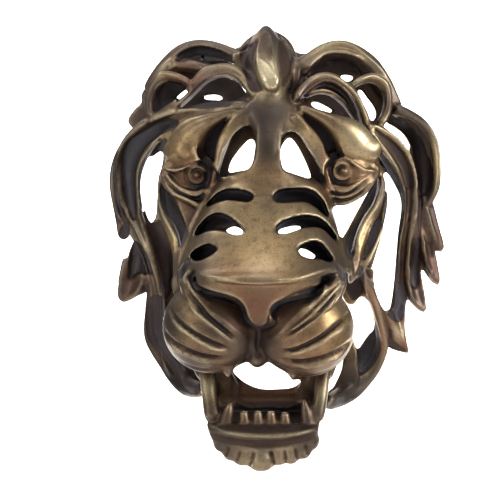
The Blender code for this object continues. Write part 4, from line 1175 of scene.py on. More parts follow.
    def strokes(self) -> list[Stroke]:
        """List the rings of the eyes and the creases round them.

        Returns:
            The strokes.
        """
        out: list[Stroke] = []
        for pupil in self.pupils:
            out += ridges([self.ring(pupil, self.iris_radius)], 1.5, 1.2, 38, 62)
            out += grooves([self.ring(pupil, self.iris_radius - self.ring_gap)], 1.4, 1.4, 38, 62)
            out += grooves([self.ring(pupil, self.iris_radius + self.ring_gap)], 1.6, 1.2, 38, 62)
            out += ridges([[pupil, (pupil[0] + 0.5, pupil[1])]], self.pupil_radius, 7.0, 38)
        out += ridges([
            [(165, 174), (173, 184), (184, 191), (197, 194), (208, 189)],
            [(164, 182), (174, 193), (187, 199), (199, 206)],
            [(326, 184), (334, 190), (346, 190), (356, 185), (363, 180)],
            [(328, 195), (341, 197), (353, 194), (363, 187), (374, 178)],
            [(332, 204), (345, 203), (358, 197), (369, 187), (378, 174)]], 1.6, 1.6, 38, 62)
        out += grooves([
            [(167, 180), (178, 190), (192, 197), (204, 200)],
            [(328, 190), (340, 194), (351, 191), (361, 184)],
            [(330, 199), (343, 201), (356, 196), (367, 187)],
            [(163, 166), (172, 168), (182, 166), (192, 163), (204, 161)],
            [(331, 160), (338, 156), (346, 156), (356, 161), (366, 167),
             (378, 169)]], 1.4, 1.6, 38, 66)
        out += grooves([
            [(172, 159), (185, 159), (200, 158)],
            [(340, 149), (352, 155), (366, 161), (376, 163)]], 2.4, 0.7, 40, 70)
        return out


@dataclass
class Nose(Assembly):
    """The slotted bridge, the nose leather and the sides of the nose."""

    hollowed: dict[str, Plate] = field(default_factory=lambda: {
        "nose bridge": Plate([
            (166, 243, 294, 72, 66), (173, 230, 306, 75, 62), (181, 220, 318, 78, 58),
            (190, 212, 326, 80, 56), (206, 204, 332, 87, 54), (226, 194, 338, 96, 55),
            (246, 186, 344, 105, 58), (264, 181, 349, 114, 64), (271, 184, 346, 118, 72),
            (276, 194, 325, 122, 96), (280, 205, 310, 123.5, 109),
            (284, 229, 292, 123.5, 118)], 2.6, 20),
    })
    plates: dict[str, Plate] = field(default_factory=lambda: {
        "nose floor": Plate([
            (184, 218, 320, 60, 46), (206, 207, 329, 68, 44), (226, 198, 334, 76, 45),
            (246, 191, 339, 84, 48), (264, 187, 344, 92, 54)], 2.6, 7),
        "nose front": Plate([
            (278, 196, 321, 118, 102), (284, 197, 320, 119, 104), (290, 210, 306, 119, 107),
            (297, 235, 285, 118, 112), (306, 245, 271, 115, 110), (316, 248, 269, 111, 108),
            (323, 252, 267, 108, 106), (327, 257, 262, 106, 105)], 2.6, 12),
    })
    locks: dict[str, Lock] = field(default_factory=lambda: {
        "nose side left": Lock([
            (213, 186, 56, 5), (205, 203, 55, 5), (195, 221, 56, 6), (187, 240, 60, 6),
            (181, 258, 66, 5), (177, 274, 70, 3)], 0, 9, 0.2),
        "nose side right": Lock([
            (325, 186, 56, 5), (329, 204, 55, 5), (334, 224, 56, 6), (341, 244, 60, 6),
            (348, 262, 66, 5), (351, 276, 70, 3)], 0, 9, 0.2),
        "left wing": Lock([
            (187, 264, 82, 6), (185, 278, 89, 9), (194, 294, 98, 12),
            (212, 311, 103, 12)], 0, 14, 0.4),
        "right wing": Lock([
            (337, 264, 84, 6), (338, 279, 91, 9), (328, 296, 99, 12),
            (308, 313, 103, 12)], 0, 14, 0.4),
    })
    webs: dict[str, Web] = field(default_factory=lambda: {
        "left nostril floor": Web([
            (206, 264), (188, 262), (173, 276), (173, 291), (182, 301), (200, 300),
            (212, 284)], 82, 12),
        "right nostril floor": Web([
            (312, 262), (332, 262), (347, 278), (340, 298), (318, 302), (308, 284)], 86, 10),
    })
    # These panels paint shade in the wing slits, along the nose leather and on the pads' tops.
    panels: list[Panel] = field(default_factory=lambda: [
        Panel([
            (188.6, 258), (190, 261), (185.7, 268), (181.4, 277.5), (179, 279), (179.3, 273.6),
            (183.6, 263.6)], 3.0, 1.0, 50),
        Panel([
            (192, 270), (194.5, 272), (194.5, 279), (197, 285), (205, 289.5), (219, 293),
            (232, 297), (241, 302.5), (245, 308), (247, 316), (251, 323), (257.5, 327.5),
            (255, 329.5), (249, 325), (244, 317), (241, 308), (230, 300.5), (216, 296.5),
            (202, 293), (194, 287.5), (190.5, 279)], 2.0, 0.52, 60),
        Panel([
            (192, 284), (204, 293), (218, 297), (232, 301), (242, 309), (246, 320), (255, 330),
            (250, 338), (238, 330), (224, 318), (208, 308), (196, 297)], 0.6, 0.33, 60),
        Panel([
            (316, 294), (304, 299), (292, 301), (282, 306), (277, 313), (278, 320), (264, 330),
            (266, 338), (276, 334), (288, 322), (298, 312), (304, 303)], 0.6, 0.33, 60),
        Panel([
            (317, 289), (311, 293), (300, 295.8), (287, 299), (277, 303.5), (272, 309),
            (271.5, 316), (274, 320), (268, 325.5), (260, 328.5), (261, 330.5), (270, 327),
            (276, 321), (275, 312), (280, 305.5), (291, 301), (303, 298),
            (314, 296)], 2.0, 0.52, 60),
        Panel([
            (337, 265), (342, 270), (347, 279), (348, 285), (344, 281), (339, 273)], 2.0, 0.9, 50),
    ])
    hollow_floor: float = 40.0
    hollows: list[Rows] = field(default_factory=lambda: [
        [(201, 214), (206, 205), (213, 197), (221, 191), (231, 189), (243, 190), (252, 194),
         (254, 198), (249, 202), (239, 201), (227, 200), (216, 203), (207, 208)],
        [(273, 197), (276, 192), (284, 189), (296, 188), (308, 189), (316, 193), (324, 202),
         (330, 219), (323, 214), (315, 207), (306, 202), (293, 202), (281, 203), (275, 201)],
        [(194, 237), (198, 227), (206, 218), (216, 213), (224, 214), (233, 219), (241, 226),
         (245, 232), (241, 235), (234, 235), (224, 231), (213, 230), (203, 233)],
        [(275, 231), (278, 224), (287, 219), (299, 216), (312, 216), (321, 219), (329, 226),
         (335, 234), (340, 246), (331, 237), (324, 230), (316, 227), (303, 228), (291, 231),
         (281, 234)],
        [(190, 257), (193, 251), (200, 247), (207, 244), (213, 245), (218, 249), (213, 254),
         (206, 258), (199, 261), (193, 260)],
        [(297, 249), (301, 245), (308, 242), (316, 241), (322, 244), (328, 251), (334, 261),
         (328, 262), (320, 259), (310, 259), (302, 256)]])

    def strokes(self) -> list[Stroke]:
        """List the creases round the nostrils.

        Returns:
            The strokes.
        """
        leather = [
            [(195, 279), (197, 284), (204, 287.5), (218, 291), (231, 295), (240.5, 300.5),
             (245.5, 307), (248, 315), (251.5, 322), (258, 325.5)],
            [(318.5, 282), (316, 287.5), (310, 291.5), (297, 294), (284, 297.5), (275, 301),
             (270, 306.5), (269, 314), (271, 318), (266, 322), (259, 325.5)]]
        edge = [
            (199, 277), (214, 277.5), (226, 279), (240, 281.5), (251, 283), (263, 283),
            (277, 281.5), (289, 280), (298, 279), (307, 275)]
        return (
            ridges(leather, 1.6, 1.1, 95)
            + ridges([edge], 1.7, 0.8, 100)
            + ridges([[(323, 281), (325.5, 287), (323.5, 294), (318, 300)]], 1.7, 1.6, 70)
            + ridges([
                [(191, 268), (185, 277), (184, 284)], [(187, 280), (191, 288)]], 1.5, 1.2, 70)
        )


@dataclass
class Muzzle(Assembly):
    """The two whisker pads, their grooves and the upper teeth."""

    masses: dict[str, Mass] = field(default_factory=lambda: {
        "left pad": Mass((211, 326, 84), (30, 27, 29)),
        "right pad": Mass((305, 329, 84), (30, 27, 29)),
        "muzzle root": Mass((259, 318, 78), (24, 20, 20)),
        "philtrum": Mass((257, 340, 84), (6, 12, 13)),
        "lip knob": Mass((257, 357, 88), (5.5, 7, 6)),
    })
    teeth: list[Tooth] = field(default_factory=lambda: [
        Tooth((229, 364), (228, 377), 92, 7), Tooth((291, 366), (291, 380), 92, 7),
        Tooth((245, 362), (253, 369), 86, 7), Tooth((263, 360), (259, 369), 86, 7),
    ])
    deep_grooves: list[Rows] = field(default_factory=lambda: [
        [(183, 286), (189, 296), (198, 306), (207, 315), (217, 324), (227, 332), (238, 341)],
        [(168, 302), (171, 312), (178, 321), (187, 329), (198, 336), (210, 342), (222, 347),
         (234, 350)],
        [(163, 326), (167, 336), (174, 343), (184, 349), (196, 354), (208, 357), (220, 358),
         (231, 358)],
        [(346, 285), (336, 295), (330, 302), (319, 314), (309, 322), (299, 329), (288, 334.5),
         (277, 338)],
        [(352, 309), (344, 319), (336, 326), (326, 334), (315, 341), (303, 347), (290, 351),
         (272, 351)],
        [(354, 338), (345, 347), (335, 353), (322, 358), (308, 361), (295, 362), (279, 359)]])
    fine_grooves: list[Rows] = field(default_factory=lambda: [
        [(187, 288), (193, 297), (200, 305), (206, 312)],
        [(172, 355), (180, 362), (190, 367), (203, 370), (215, 369), (229, 366)],
        [(342, 281), (334, 288), (327, 295), (314, 308), (303, 318), (291, 328), (280, 336)],
        [(349, 356), (338, 366), (323, 373), (308, 376), (293, 373), (278, 366), (267, 358)]])
    lips: list[Rows] = field(default_factory=lambda: [
        [(188, 304), (195, 312), (203, 318.5), (213, 326.5), (225, 336), (236, 343)],
        [(172, 320), (180, 328), (190, 335), (202, 343), (214, 349), (226, 352)],
        [(167, 341), (176, 349), (188, 355), (202, 360), (216, 362)],
        [(336, 301), (326, 309), (314, 319), (302, 329), (290, 335)],
        [(347, 324), (338, 331), (328, 338), (316, 346), (304, 351), (288, 355)],
        [(347, 351), (336, 358), (322, 363), (308, 366), (294, 366)]])

    def strokes(self) -> list[Stroke]:
        """List the whisker grooves, each with a raised lower lip.

        Returns:
            The strokes.
        """
        return (
            grooves(self.deep_grooves, 1.7, 3.2, 76)
            + grooves(self.fine_grooves, 1.3, 2.0, 76)
            + ridges(self.lips, 1.3, 1.9, 76)
            + grooves([[(258, 326), (258, 340), (257, 354)]], 2.2, 2.6, 78)
        )


@dataclass
class Jaw(Assembly):
    """The open lower jaw: its bars, floor, lip, teeth and the tufts under the chin."""

    locks: dict[str, Lock] = field(default_factory=lambda: {
        "jaw left web": Lock([
            (216, 356, 56, 12), (222, 374, 54, 13), (227, 392, 56, 16),
            (222, 412, 64, 12)], 0, 7, 0),
        "jaw right web": Lock([
            (318, 360, 56, 10), (314, 380, 54, 12), (308, 394, 56, 15),
            (313, 412, 64, 12)], 0, 7, 0),
        "jaw left bar": Lock([
            (206, 366, 62, 9), (208, 384, 66, 10), (210, 402, 70, 10),
            (214, 422, 76, 12)], 0, 10, 0.3),
        "jaw right bar": Lock([
            (325, 366, 60, 8), (322, 384, 66, 9), (320, 402, 71, 9),
            (315, 422, 77, 11)], 0, 10, 0.3),
        "jaw left back": Lock([
            (182, 320, 62, 9), (190, 345, 58, 10), (200, 366, 58, 10),
            (206, 380, 60, 9)], 0, 9, 0),
        "jaw right back": Lock([
            (345, 320, 60, 8), (338, 345, 56, 8), (330, 366, 56, 8), (325, 380, 60, 8)], 0, 9, 0),
    })
    plates: dict[str, Plate] = field(default_factory=lambda: {
        "jaw floor": Plate([
            (404, 218, 314, 52, 54), (414, 216, 314, 62, 62), (424, 216, 314, 70, 70)], 2.0, 8),
        "jaw lip": Plate([
            (424, 206, 320, 82, 74), (431, 208, 319, 90, 78), (440, 212, 316, 91, 78),
            (449, 218, 310, 87, 76), (456, 226, 303, 84, 74), (461, 240, 292, 80, 73)], 2.6, 12),
        "gum": Plate([
            (372, 224, 312, 44, 44), (384, 222, 314, 52, 50), (396, 222, 314, 60, 56),
            (408, 222, 312, 62, 58)], 2.0, 8),
    })
    webs: dict[str, Web] = field(default_factory=lambda: {
        "back of the mouth": Web([
            (206, 352), (236, 348), (262, 350), (304, 356), (328, 354), (326, 380), (322, 412),
            (308, 428), (262, 432), (222, 428), (208, 410), (204, 380)], 44, 9),
    })
    masses: dict[str, Mass] = field(default_factory=lambda: {
        "chin lobe 1": Mass((222, 441, 76), (6, 7, 7)),
        "chin lobe 2": Mass((231, 448, 77), (6, 8, 8)),
        "chin lobe 3": Mass((243, 453, 78), (7.5, 9, 8)),
        "chin lobe 4": Mass((261, 457, 79), (10, 10, 9)),
        "chin lobe 5": Mass((279, 453, 78), (7, 9, 7.5)),
        "chin lobe 6": Mass((291, 452, 78), (6, 9, 7.5)),
        "chin lobe 7": Mass((303, 447, 77), (6, 8, 7.5)),
        "chin lobe 8": Mass((312, 440, 76), (5, 7, 6)),
    })
    teeth: list[Tooth] = field(default_factory=lambda: [
        Tooth((225, 426), (230, 403), 77, 10), Tooth((245, 430), (244, 411), 80, 7.5, 0.7),
        Tooth((258, 431), (258, 411), 81, 7.5, 0.7), Tooth((272, 431), (271, 411), 81, 7.5, 0.7),
        Tooth((286, 430), (285, 412), 80, 7.5, 0.7), Tooth((309, 427), (304, 399), 77, 9.5, 0.2),
    ])
    # The first panel darkens the lip band; the rest paint shade in the mouth round the teeth.
    panels: list[Panel] = field(default_factory=lambda: [
        Panel([
            (210, 432), (230, 437.5), (262, 440), (290, 438), (318, 431), (316, 438), (292, 445),
            (262, 448), (232, 445), (212, 439)], 0.6, 0.42, 60),
        Panel([(231, 368), (240, 368), (240, 404), (231, 404)], 0.0, 0.38, 40, 74),
        Panel([(222, 404), (312, 404), (313, 425), (262, 430), (221, 426)], 0.0, 0.5, 45, 73),
        Panel([(222, 425), (312, 424), (302, 430), (262, 433), (230, 430)], 0.0, 0.45, 60),
    ])

    def strokes(self) -> list[Stroke]:
        """List the creases of the lip and the chin.

        Returns:
            The strokes.
        """
        return (
            ridges([
                [(212, 427), (225, 432), (245, 435), (262, 436), (280, 436), (305, 432),
                 (317, 425)]], 1.8, 1.4, 60)
            + ridges([
                [(230, 398), (241, 404), (255, 408.5), (280, 409.5), (297, 403),
                 (305, 396)]], 1.8, 1.4, 48, 72)
            + grooves([[(214, 436), (240, 440), (262, 441), (290, 439), (316, 434)]], 1.6, 1.2, 60)
            + grooves([[(244, 446), (262, 447), (296, 445)]], 2.0, 1.4, 60)
            + grooves([
                [(230, 446), (225, 458)], [(241, 449), (236, 463)], [(254, 450), (249, 469)],
                [(270, 450), (275, 468)], [(284, 449), (286, 464)], [(295, 447), (298, 461)],
                [(305, 444), (309, 456)]], 1.5, 1.5, 60)
        )


@dataclass
class Openings:
    """The places where the wall shows through the casting."""

    outlines: dict[str, Rows] = field(default_factory=lambda: {
        "left side": [
            (161, 151), (163, 155), (162, 165), (158, 180), (157, 200), (156, 215), (153, 222),
            (150, 222), (146, 212), (142, 195), (142, 181), (146, 168), (152, 158)],
        "left of the bar": [
            (250, 139), (255, 142), (254, 155), (251, 166), (246, 170), (238, 171), (229, 173),
            (229, 168), (232, 160), (240, 149)],
        "right of the bar": [
            (288, 138), (293, 140), (299, 149), (306, 163), (311, 178), (304, 177), (292, 173),
            (284, 170), (281, 160), (281, 148)],
        "left loop": [
            (203, 99), (205, 96), (210, 95), (217, 95), (222, 97), (224, 100), (214, 100)],
        "left small loop": [(187, 89), (189, 91), (180, 99), (172, 105), (177, 97)],
        "right loop": [
            (310, 103), (316, 102), (325, 106), (332, 110), (337, 114), (328, 112), (315, 108)],
        "right arch": [(338, 76), (346, 75), (354, 77), (350, 81), (346, 82), (342, 79)],
        "right small loop": [
            (357, 90), (361, 90), (367, 98), (373, 106), (376, 114), (374, 120), (371, 121),
            (367, 111), (362, 102)],
        "right lock": [
            (388, 126), (393, 127), (402, 133), (408, 142), (412, 152), (404, 144), (396, 135)],
        "under the right eye": [
            (333, 208), (345, 205), (357, 200), (363, 197), (360, 206), (353, 217), (345, 232),
            (341, 240), (339, 234), (336, 222)],
        "right side": [
            (383, 172), (388, 174), (395, 186), (400, 197), (401, 210), (398, 232), (396, 255),
            (394, 280), (391, 303), (388, 311), (384, 310), (378, 299), (374, 282), (375, 264),
            (381, 237), (387, 208), (387, 190)],
        "low right": [
            (361, 296), (366, 301), (371, 313), (374, 328), (368, 335), (358, 349), (355, 345),
            (353, 336), (355, 322), (355, 307)],
        "beside the jaw": [(341, 362), (342, 367), (338, 378), (331, 390), (333, 376)],
        "mouth": [
            (233, 371), (240, 365), (248, 362), (252, 366), (258, 368), (264, 365), (268, 362),
            (276, 367), (288, 374), (292, 380), (303, 379), (297, 385), (290, 388), (277, 389),
            (263, 389), (252, 386), (243, 381)],
        "left nose": [
            (225, 231), (232, 227), (237, 227), (243, 231), (243, 234), (235, 235), (229, 233)],
        "right nose": [
            (277, 232), (281, 229), (288, 227), (296, 226), (304, 227), (297, 230), (288, 233),
            (280, 234)],
        "right nostril": [(298, 249), (304, 249), (312, 253), (318, 259), (309, 258), (301, 255)],
    })
    far: float = -20.0

    def cutters(self, maker: Modeller) -> list[bpy.types.Object]:
        """Make a cutter for each opening."""
        return [maker.prism(name, rows, self.far) for name, rows in self.outlines.items()]


@dataclass(frozen=True)
class Hue:
    """A patch of the sheet where a tint gathers: its middle, its reach and its strength."""

    across: float
    down: float
    reach: float
    strength: float


def linear(hex_colour: str) -> tuple[float, float, float, float]:
    """Turn an sRGB hex colour into linear values."""
    channels = [int(hex_colour[i:i + 2], 16) / 255 for i in (1, 3, 5)]
    return (*[c / 12.92 if c <= 0.04045 else ((c + 0.055) / 1.055) ** 2.4 for c in channels], 1.0)


def add_node(tree: bpy.types.NodeTree, kind: str, settings: dict[str, object] | None = None,
             **links: object) -> bpy.types.Node:
    """Add a node.

    Args:
        tree: The node tree.
        kind: The node's type name.
        settings: Its attributes.
        **links: For each input, by its name with underscores, a socket or a value.

    Returns:
        The node.
    """
    node = tree.nodes.new(kind)
    for key, value in (settings or {}).items():
        setattr(node, key, value)
    for key, value in links.items():
        name = key.replace("_", " ")
        socket = node.inputs[int(name[3:])] if name.startswith("in ") else node.inputs[name]
        if isinstance(value, bpy.types.NodeSocket):
            tree.links.new(value, socket)
        else:
            socket.default_value = value
    return node


@dataclass(frozen=True)
class RubbedBronze:
    """Antique bronze wax over cast resin: dark in the hollows, rubbed back to gold on top.

    The eye gets charcoal recesses, of wax and painted shade, and brown hair, a face of pale old
    gold with a fine mottle of wax left on it, warm copper where hands have rubbed it, sooty
    patches with painted shade, and bright lines along the edges, of wear and painted highlights.
    Patterns are (size in mm, detail, roughness), and bands are (from, to, most). The casting's
    grain of about 0.2 mm is too fine to show, so it is drawn at 0.5 mm.
    """

    # The darkest two colours lay wax and painted shade in the hollows; umber also the flecks.
    wax_and_shade_black: str = "#5A565A"
    umber: str = "#4A362B"
    hair: str = "#5E5450"
    gold: str = "#B59A6C"
    # Rubbed gold on worn edges, and painted highlights.
    edge: str = "#EADAB4"
    copper: str = "#8C5E44"
    wax: str = "#7A6250"
    # Soot, and painted shade.
    soot_and_shade: str = "#3C3736"
    mottle: Row = (5.0, 4.0, 0.6)
    specks: Row = (1.2, 3.0, 0.7)
    grain: Row = (0.5, 2.0, 0.6)
    blotches: Row = (0.47, 0.64, 0.65)
    flecks: Row = (0.57, 0.66, 0.6)
    wax_and_shade_brown_band: Row = (0.10, 0.42, 0.9)
    wax_and_shade_black_band: Row = (0.34, 0.72, 1.0)
    smooth: float = 0.29
    rough: float = 0.52
    rough_from: float = 0.7
    dull_rough: float = 0.12
    mottle_rough: float = 0.2
    grain_height_mm: float = 0.05
    grain_strength: float = 0.35
    speck_height_mm: float = 0.1
    speck_strength: float = 0.3
    metallic: float = 0.9

    def material(self) -> bpy.types.Material:
        """Build the finish.

        Returns:
            The material.
        """
        material = bpy.data.materials.new("rubbed_bronze_on_resin")
        material.use_nodes = True
        tree = material.node_tree
        tree.nodes.clear()
        place = add_node(tree, "ShaderNodeTexCoord").outputs["Object"]
        wax_and_shade, rub_and_highlight, warm, gilt, dull_and_shade = (
            add_node(tree, "ShaderNodeAttribute", {"attribute_name": name}).outputs["Fac"]
            for name in ("wax_and_shade", "rub_and_highlight", "warm", "gilt", "dull_and_shade")
        )
        mottle, specks, grain = (
            add_node(tree, "ShaderNodeTexNoise", Vector=place, Scale=1 / (size * MM),
                     Detail=detail, Roughness=fine).outputs["Fac"]
            for size, detail, fine in (self.mottle, self.specks, self.grain)
        )

        colour = self.mix(tree, gilt, linear(self.hair), linear(self.gold))
        # Besides wax, soot and wear, this mix lays painted shade and painted highlights.
        for share, over in (
            (self.between(tree, mottle, self.blotches), self.wax),
            (warm, self.copper),
            (dull_and_shade, self.soot_and_shade),
            (rub_and_highlight, self.edge),
            (self.between(tree, specks, self.flecks), self.umber),
            (self.between(tree, wax_and_shade, self.wax_and_shade_brown_band), self.umber),
            (self.between(tree, wax_and_shade, self.wax_and_shade_black_band), self.wax_and_shade_black),
        ):
            colour = self.mix(tree, share, colour, linear(over))

        rough = add_node(tree, "ShaderNodeMapRange", Value=wax_and_shade, From_Max=self.rough_from,
                         To_Min=self.smooth, To_Max=self.rough).outputs["Result"]
        for share, more in ((dull_and_shade, self.dull_rough), (mottle, self.mottle_rough)):
            rough = add_node(tree, "ShaderNodeMath", {"operation": "MULTIPLY_ADD"},
                             in_0=share, in_1=more, in_2=rough).outputs["Value"]
        fine = add_node(tree, "ShaderNodeBump", Strength=self.grain_strength,
                        Distance=self.grain_height_mm * MM, Height=grain)
        coarse = add_node(tree, "ShaderNodeBump", Strength=self.speck_strength,
                          Distance=self.speck_height_mm * MM, Height=specks,
                          Normal=fine.outputs["Normal"])
        shader = add_node(tree, "ShaderNodeBsdfPrincipled", Base_Color=colour,
                          Metallic=self.metallic, Roughness=rough,
                          Normal=coarse.outputs["Normal"])
        add_node(tree, "ShaderNodeOutputMaterial", Surface=shader.outputs["BSDF"])
        return material

    @staticmethod
    def between(tree: bpy.types.NodeTree, value: bpy.types.NodeSocket, band: Row
                ) -> bpy.types.NodeSocket:
        """Turn a value's band of (from, to, most) into a share up to the most.

        Args:
            tree: The node tree.
            value: The value.
            band: From, to and most.

        Returns:
            The share.
        """
        low, high, most = band
        return add_node(tree, "ShaderNodeMapRange", Value=value, From_Min=low, From_Max=high,
                        To_Max=most).outputs["Result"]

    @staticmethod
    def mix(tree: bpy.types.NodeTree, share: bpy.types.NodeSocket, first: object,
            second: object) -> bpy.types.NodeSocket:
        """Mix two colours by a share.

        Args:
            tree: The node tree.
            share: How much of the second shows.
            first: A colour.
            second: The colour over it.

        Returns:
            The mixed colour.
        """
        node = add_node(tree, "ShaderNodeMix", {"data_type": "RGBA"}, in_0=share, in_6=first,
                        in_7=second)
        return node.outputs[2]


@dataclass(frozen=True)
class Wear:
    """How the form sets wax and painted shade, rubbed wax and painted highlights, from 0 to 1."""

    shut_gain: float = 1.15
    shut_least: float = 0.08
    bend_gain: float = 0.5
    edge_most: float = 0.4
    crease_most: float = 0.3
    pale_clears: float = 0.25
    rub_gain: float = 3.0
    rub_from: float = 0.10
    open_rub: float = 1.1
    shut_rub: float = 1.4
    dark_hides: float = 0.7
    plain_rub: float = 0.25
    gilt_rub: float = 0.65

    def wax_and_shade(self, shut: np.ndarray, bend: np.ndarray, dark: np.ndarray, pale: np.ndarray
               ) -> np.ndarray:
        """Work out how much wax stays and how much shade is painted.

        Args:
            shut: How far each vertex is shut in.
            bend: How sharply it bends out.
            dark: How much shade the marks paint on it.
            pale: How much highlight they paint on it.

        Returns:
            The wax and painted shade of each vertex.
        """
        # Shut-in places, creases and the marks take painted shade here.
        bent = np.clip(-bend, 0, self.crease_most) - np.clip(bend, 0, self.edge_most)
        deep = self.shut_gain * shut - self.shut_least + self.bend_gain * bent
        return np.maximum(np.clip(deep - self.pale_clears * pale, 0, 1), dark)

    def rub_and_highlight(self, shut: np.ndarray, bend: np.ndarray, dark: np.ndarray, pale: np.ndarray,
            gilt: np.ndarray) -> np.ndarray:
        """Work out how much wax is rubbed off edges and ridges, and where highlights are painted.

        Args:
            shut: How far each vertex is shut in.
            bend: How sharply it bends out.
            dark: How much shade the marks paint on it.
            pale: How much highlight they paint on it.
            gilt: How golden it is.

        Returns:
            The rubbed wax and painted highlight of each vertex.
        """
        # Bent-out edges take wear and a painted highlight; the marks add painted highlights.
        edges = np.clip(self.rub_gain * (bend - self.rub_from), 0, 1)
        edges *= np.clip(self.open_rub - self.shut_rub * shut, 0, 1)
        ridged = np.maximum(edges, pale * (1 - self.dark_hides * dark))
        return ridged * (self.plain_rub + self.gilt_rub * gilt)


@dataclass
class LionMask:
    """The whole casting, fused from its parts, carved and dressed."""

    sheet: Sheet
    crown: Crown = field(default_factory=Crown)
    mane: Mane = field(default_factory=Mane)
    eyes: Eyes = field(default_factory=Eyes)
    nose: Nose = field(default_factory=Nose)
    muzzle: Muzzle = field(default_factory=Muzzle)
    jaw: Jaw = field(default_factory=Jaw)
    openings: Openings = field(default_factory=Openings)
    finish: RubbedBronze = RubbedBronze()
    fuse_voxel: float = 0.95
    soften_rounds: int = 5
    soften_factor: float = 0.5
    triangles: int = 190_000
    stray_vertices: int = 200
    line_spacing: float = 2.5
    facing_gain: float = 2.5
    lit_gain: float = 6.0
    panel_edge: float = 1.8
    stroke_reach: float = 3.0
    stroke_fade: float = 5.0
    stroke_end: float = 0.15
    full_mark: float = 2.0
    # Grooves take painted shade and ridges painted highlights, by these shares.
    groove_dark: float = 0.5
    ridge_pale: float = 0.95
    blur_rounds: int = 2
    blur_share: float = 0.6
    # How shut in each vertex is, measured by rays, sets the painted shade in the hollows.
    shelter_rays: int = 14
    shelter_reach: float = 26.0
    shelter_cone: float = 0.9
    shelter_lift: float = 0.4
    shelter_level: float = 0.9
    wear: Wear = Wear()
    gilt_patches: tuple[Hue, ...] = (
        Hue(262, 262, 58, 1.0), Hue(262, 215, 60, 0.85), Hue(187, 145, 34, 0.85),
        Hue(357, 145, 36, 1.0), Hue(225, 130, 25, 0.7), Hue(312, 130, 28, 0.8),
        Hue(195, 325, 42, 0.75), Hue(322, 325, 46, 0.95), Hue(170, 240, 22, 0.8),
        Hue(368, 235, 28, 0.9), Hue(268, 78, 22, 1.0), Hue(209, 388, 16, 0.9),
        Hue(324, 392, 16, 0.9), Hue(262, 437, 50, 0.6), Hue(345, 190, 28, 0.7),
        Hue(436, 165, 22, 0.8), Hue(250, 170, 18, 0.8), Hue(185, 195, 24, 0.55),
        Hue(414, 158, 24, 0.5), Hue(340, 78, 30, 0.45), Hue(345, 50, 34, 0.55),
        Hue(235, 75, 26, 0.3), Hue(170, 76, 16, 0.4), Hue(262, 462, 40, 0.55),
        Hue(375, 82, 16, 0.5),
    )
    warm_patches: tuple[Hue, ...] = (
        Hue(258, 298, 34, 1.0), Hue(305, 345, 36, 0.55), Hue(210, 350, 32, 0.35),
        Hue(430, 255, 34, 0.45), Hue(395, 335, 30, 0.75), Hue(382, 300, 26, 0.6),
        Hue(262, 398, 40, 0.5), Hue(342, 178, 26, 0.75), Hue(192, 174, 24, 0.6),
        Hue(185, 75, 18, 0.5), Hue(325, 93, 16, 0.5), Hue(268, 178, 20, 0.3),
        Hue(135, 290, 26, 0.3), Hue(282, 385, 26, 0.4), Hue(276, 452, 34, 0.5),
    )
    # Dark wax and soot in places; painted shade on the upper pads and the lower left mane.
    dull_and_shade_patches: tuple[Hue, ...] = (
        Hue(268, 116, 22, 0.8), Hue(266, 148, 18, 0.7), Hue(268, 203, 24, 0.55),
        Hue(258, 300, 26, 0.45), Hue(257, 342, 27, 0.8), Hue(202, 268, 18, 0.35),
        Hue(178, 308, 22, 0.4), Hue(154, 322, 34, 1.0), Hue(178, 378, 32, 1.0),
        Hue(262, 440, 30, 0.85), Hue(225, 438, 28, 0.8), Hue(300, 437, 26, 0.8),
        Hue(350, 388, 26, 0.8), Hue(334, 400, 18, 1.0), Hue(345, 360, 14, 0.5),
        Hue(405, 262, 16, 0.4), Hue(434, 250, 26, 0.5), Hue(362, 372, 22, 0.5),
        Hue(216, 326, 26, 0.75), Hue(290, 318, 20, 0.5), Hue(176, 352, 16, 0.6),
        Hue(325, 270, 16, 0.4), Hue(262, 398, 44, 0.4),
    )
    # Painted highlights: the crest's facet, the right brow, a pupil, a pad, the jaw's bars.
    painted_highlight_patches: tuple[Hue, ...] = (
        Hue(268, 74, 17, 1.0), Hue(262, 272, 18, 0.3), Hue(365, 138, 20, 0.55),
        Hue(399, 332, 9, 0.55), Hue(342, 171, 9, 0.4), Hue(310, 304, 9, 0.7),
        Hue(209, 386, 11, 0.6), Hue(322, 390, 10, 0.6), Hue(437, 168, 12, 0.5),
        Hue(256, 457, 18, 0.3), Hue(284, 453, 14, 0.3),
    )

    def assemblies(self) -> tuple[Assembly, ...]:
        """List the assemblies from the top down."""
        return self.crown, self.mane, self.eyes, self.nose, self.muzzle, self.jaw

    def build(self) -> bpy.types.Object:
        """Build, fuse, soften and carve the mask.

        Returns:
            The mask as one object.
        """
        maker = Modeller(self.sheet)
        parts: list[bpy.types.Object] = []
        for assembly in self.assemblies():
            made = assembly.build(maker)
            parts += made
            LOG.info("%s: %d forms", type(assembly).__name__, len(made))
        mask = self.join(parts)
        add_modifier(mask, "REMESH", mode="VOXEL", voxel_size=self.fuse_voxel * MM)
        bake_modifiers(mask)
        maker.cut(mask, self.openings.cutters(maker))
        add_modifier(mask, "REMESH", mode="VOXEL", voxel_size=self.fuse_voxel * MM)
        add_modifier(mask, "SMOOTH", factor=self.soften_factor, iterations=self.soften_rounds)
        bake_modifiers(mask)
        LOG.info("fused: %d vertices", len(mask.data.vertices))
        self.carve(mask)
        add_modifier(mask, "SMOOTH", factor=self.soften_factor, iterations=1)
        faces = sum(len(p.vertices) - 2 for p in mask.data.polygons)
        add_modifier(mask, "DECIMATE", ratio=min(1.0, self.triangles / faces),
                     use_collapse_triangulate=True)
        bake_modifiers(mask)
        self.flatten_back(mask)
        mask.data.shade_smooth()
        LOG.info("mask: %d triangles", len(mask.data.polygons))
        return mask

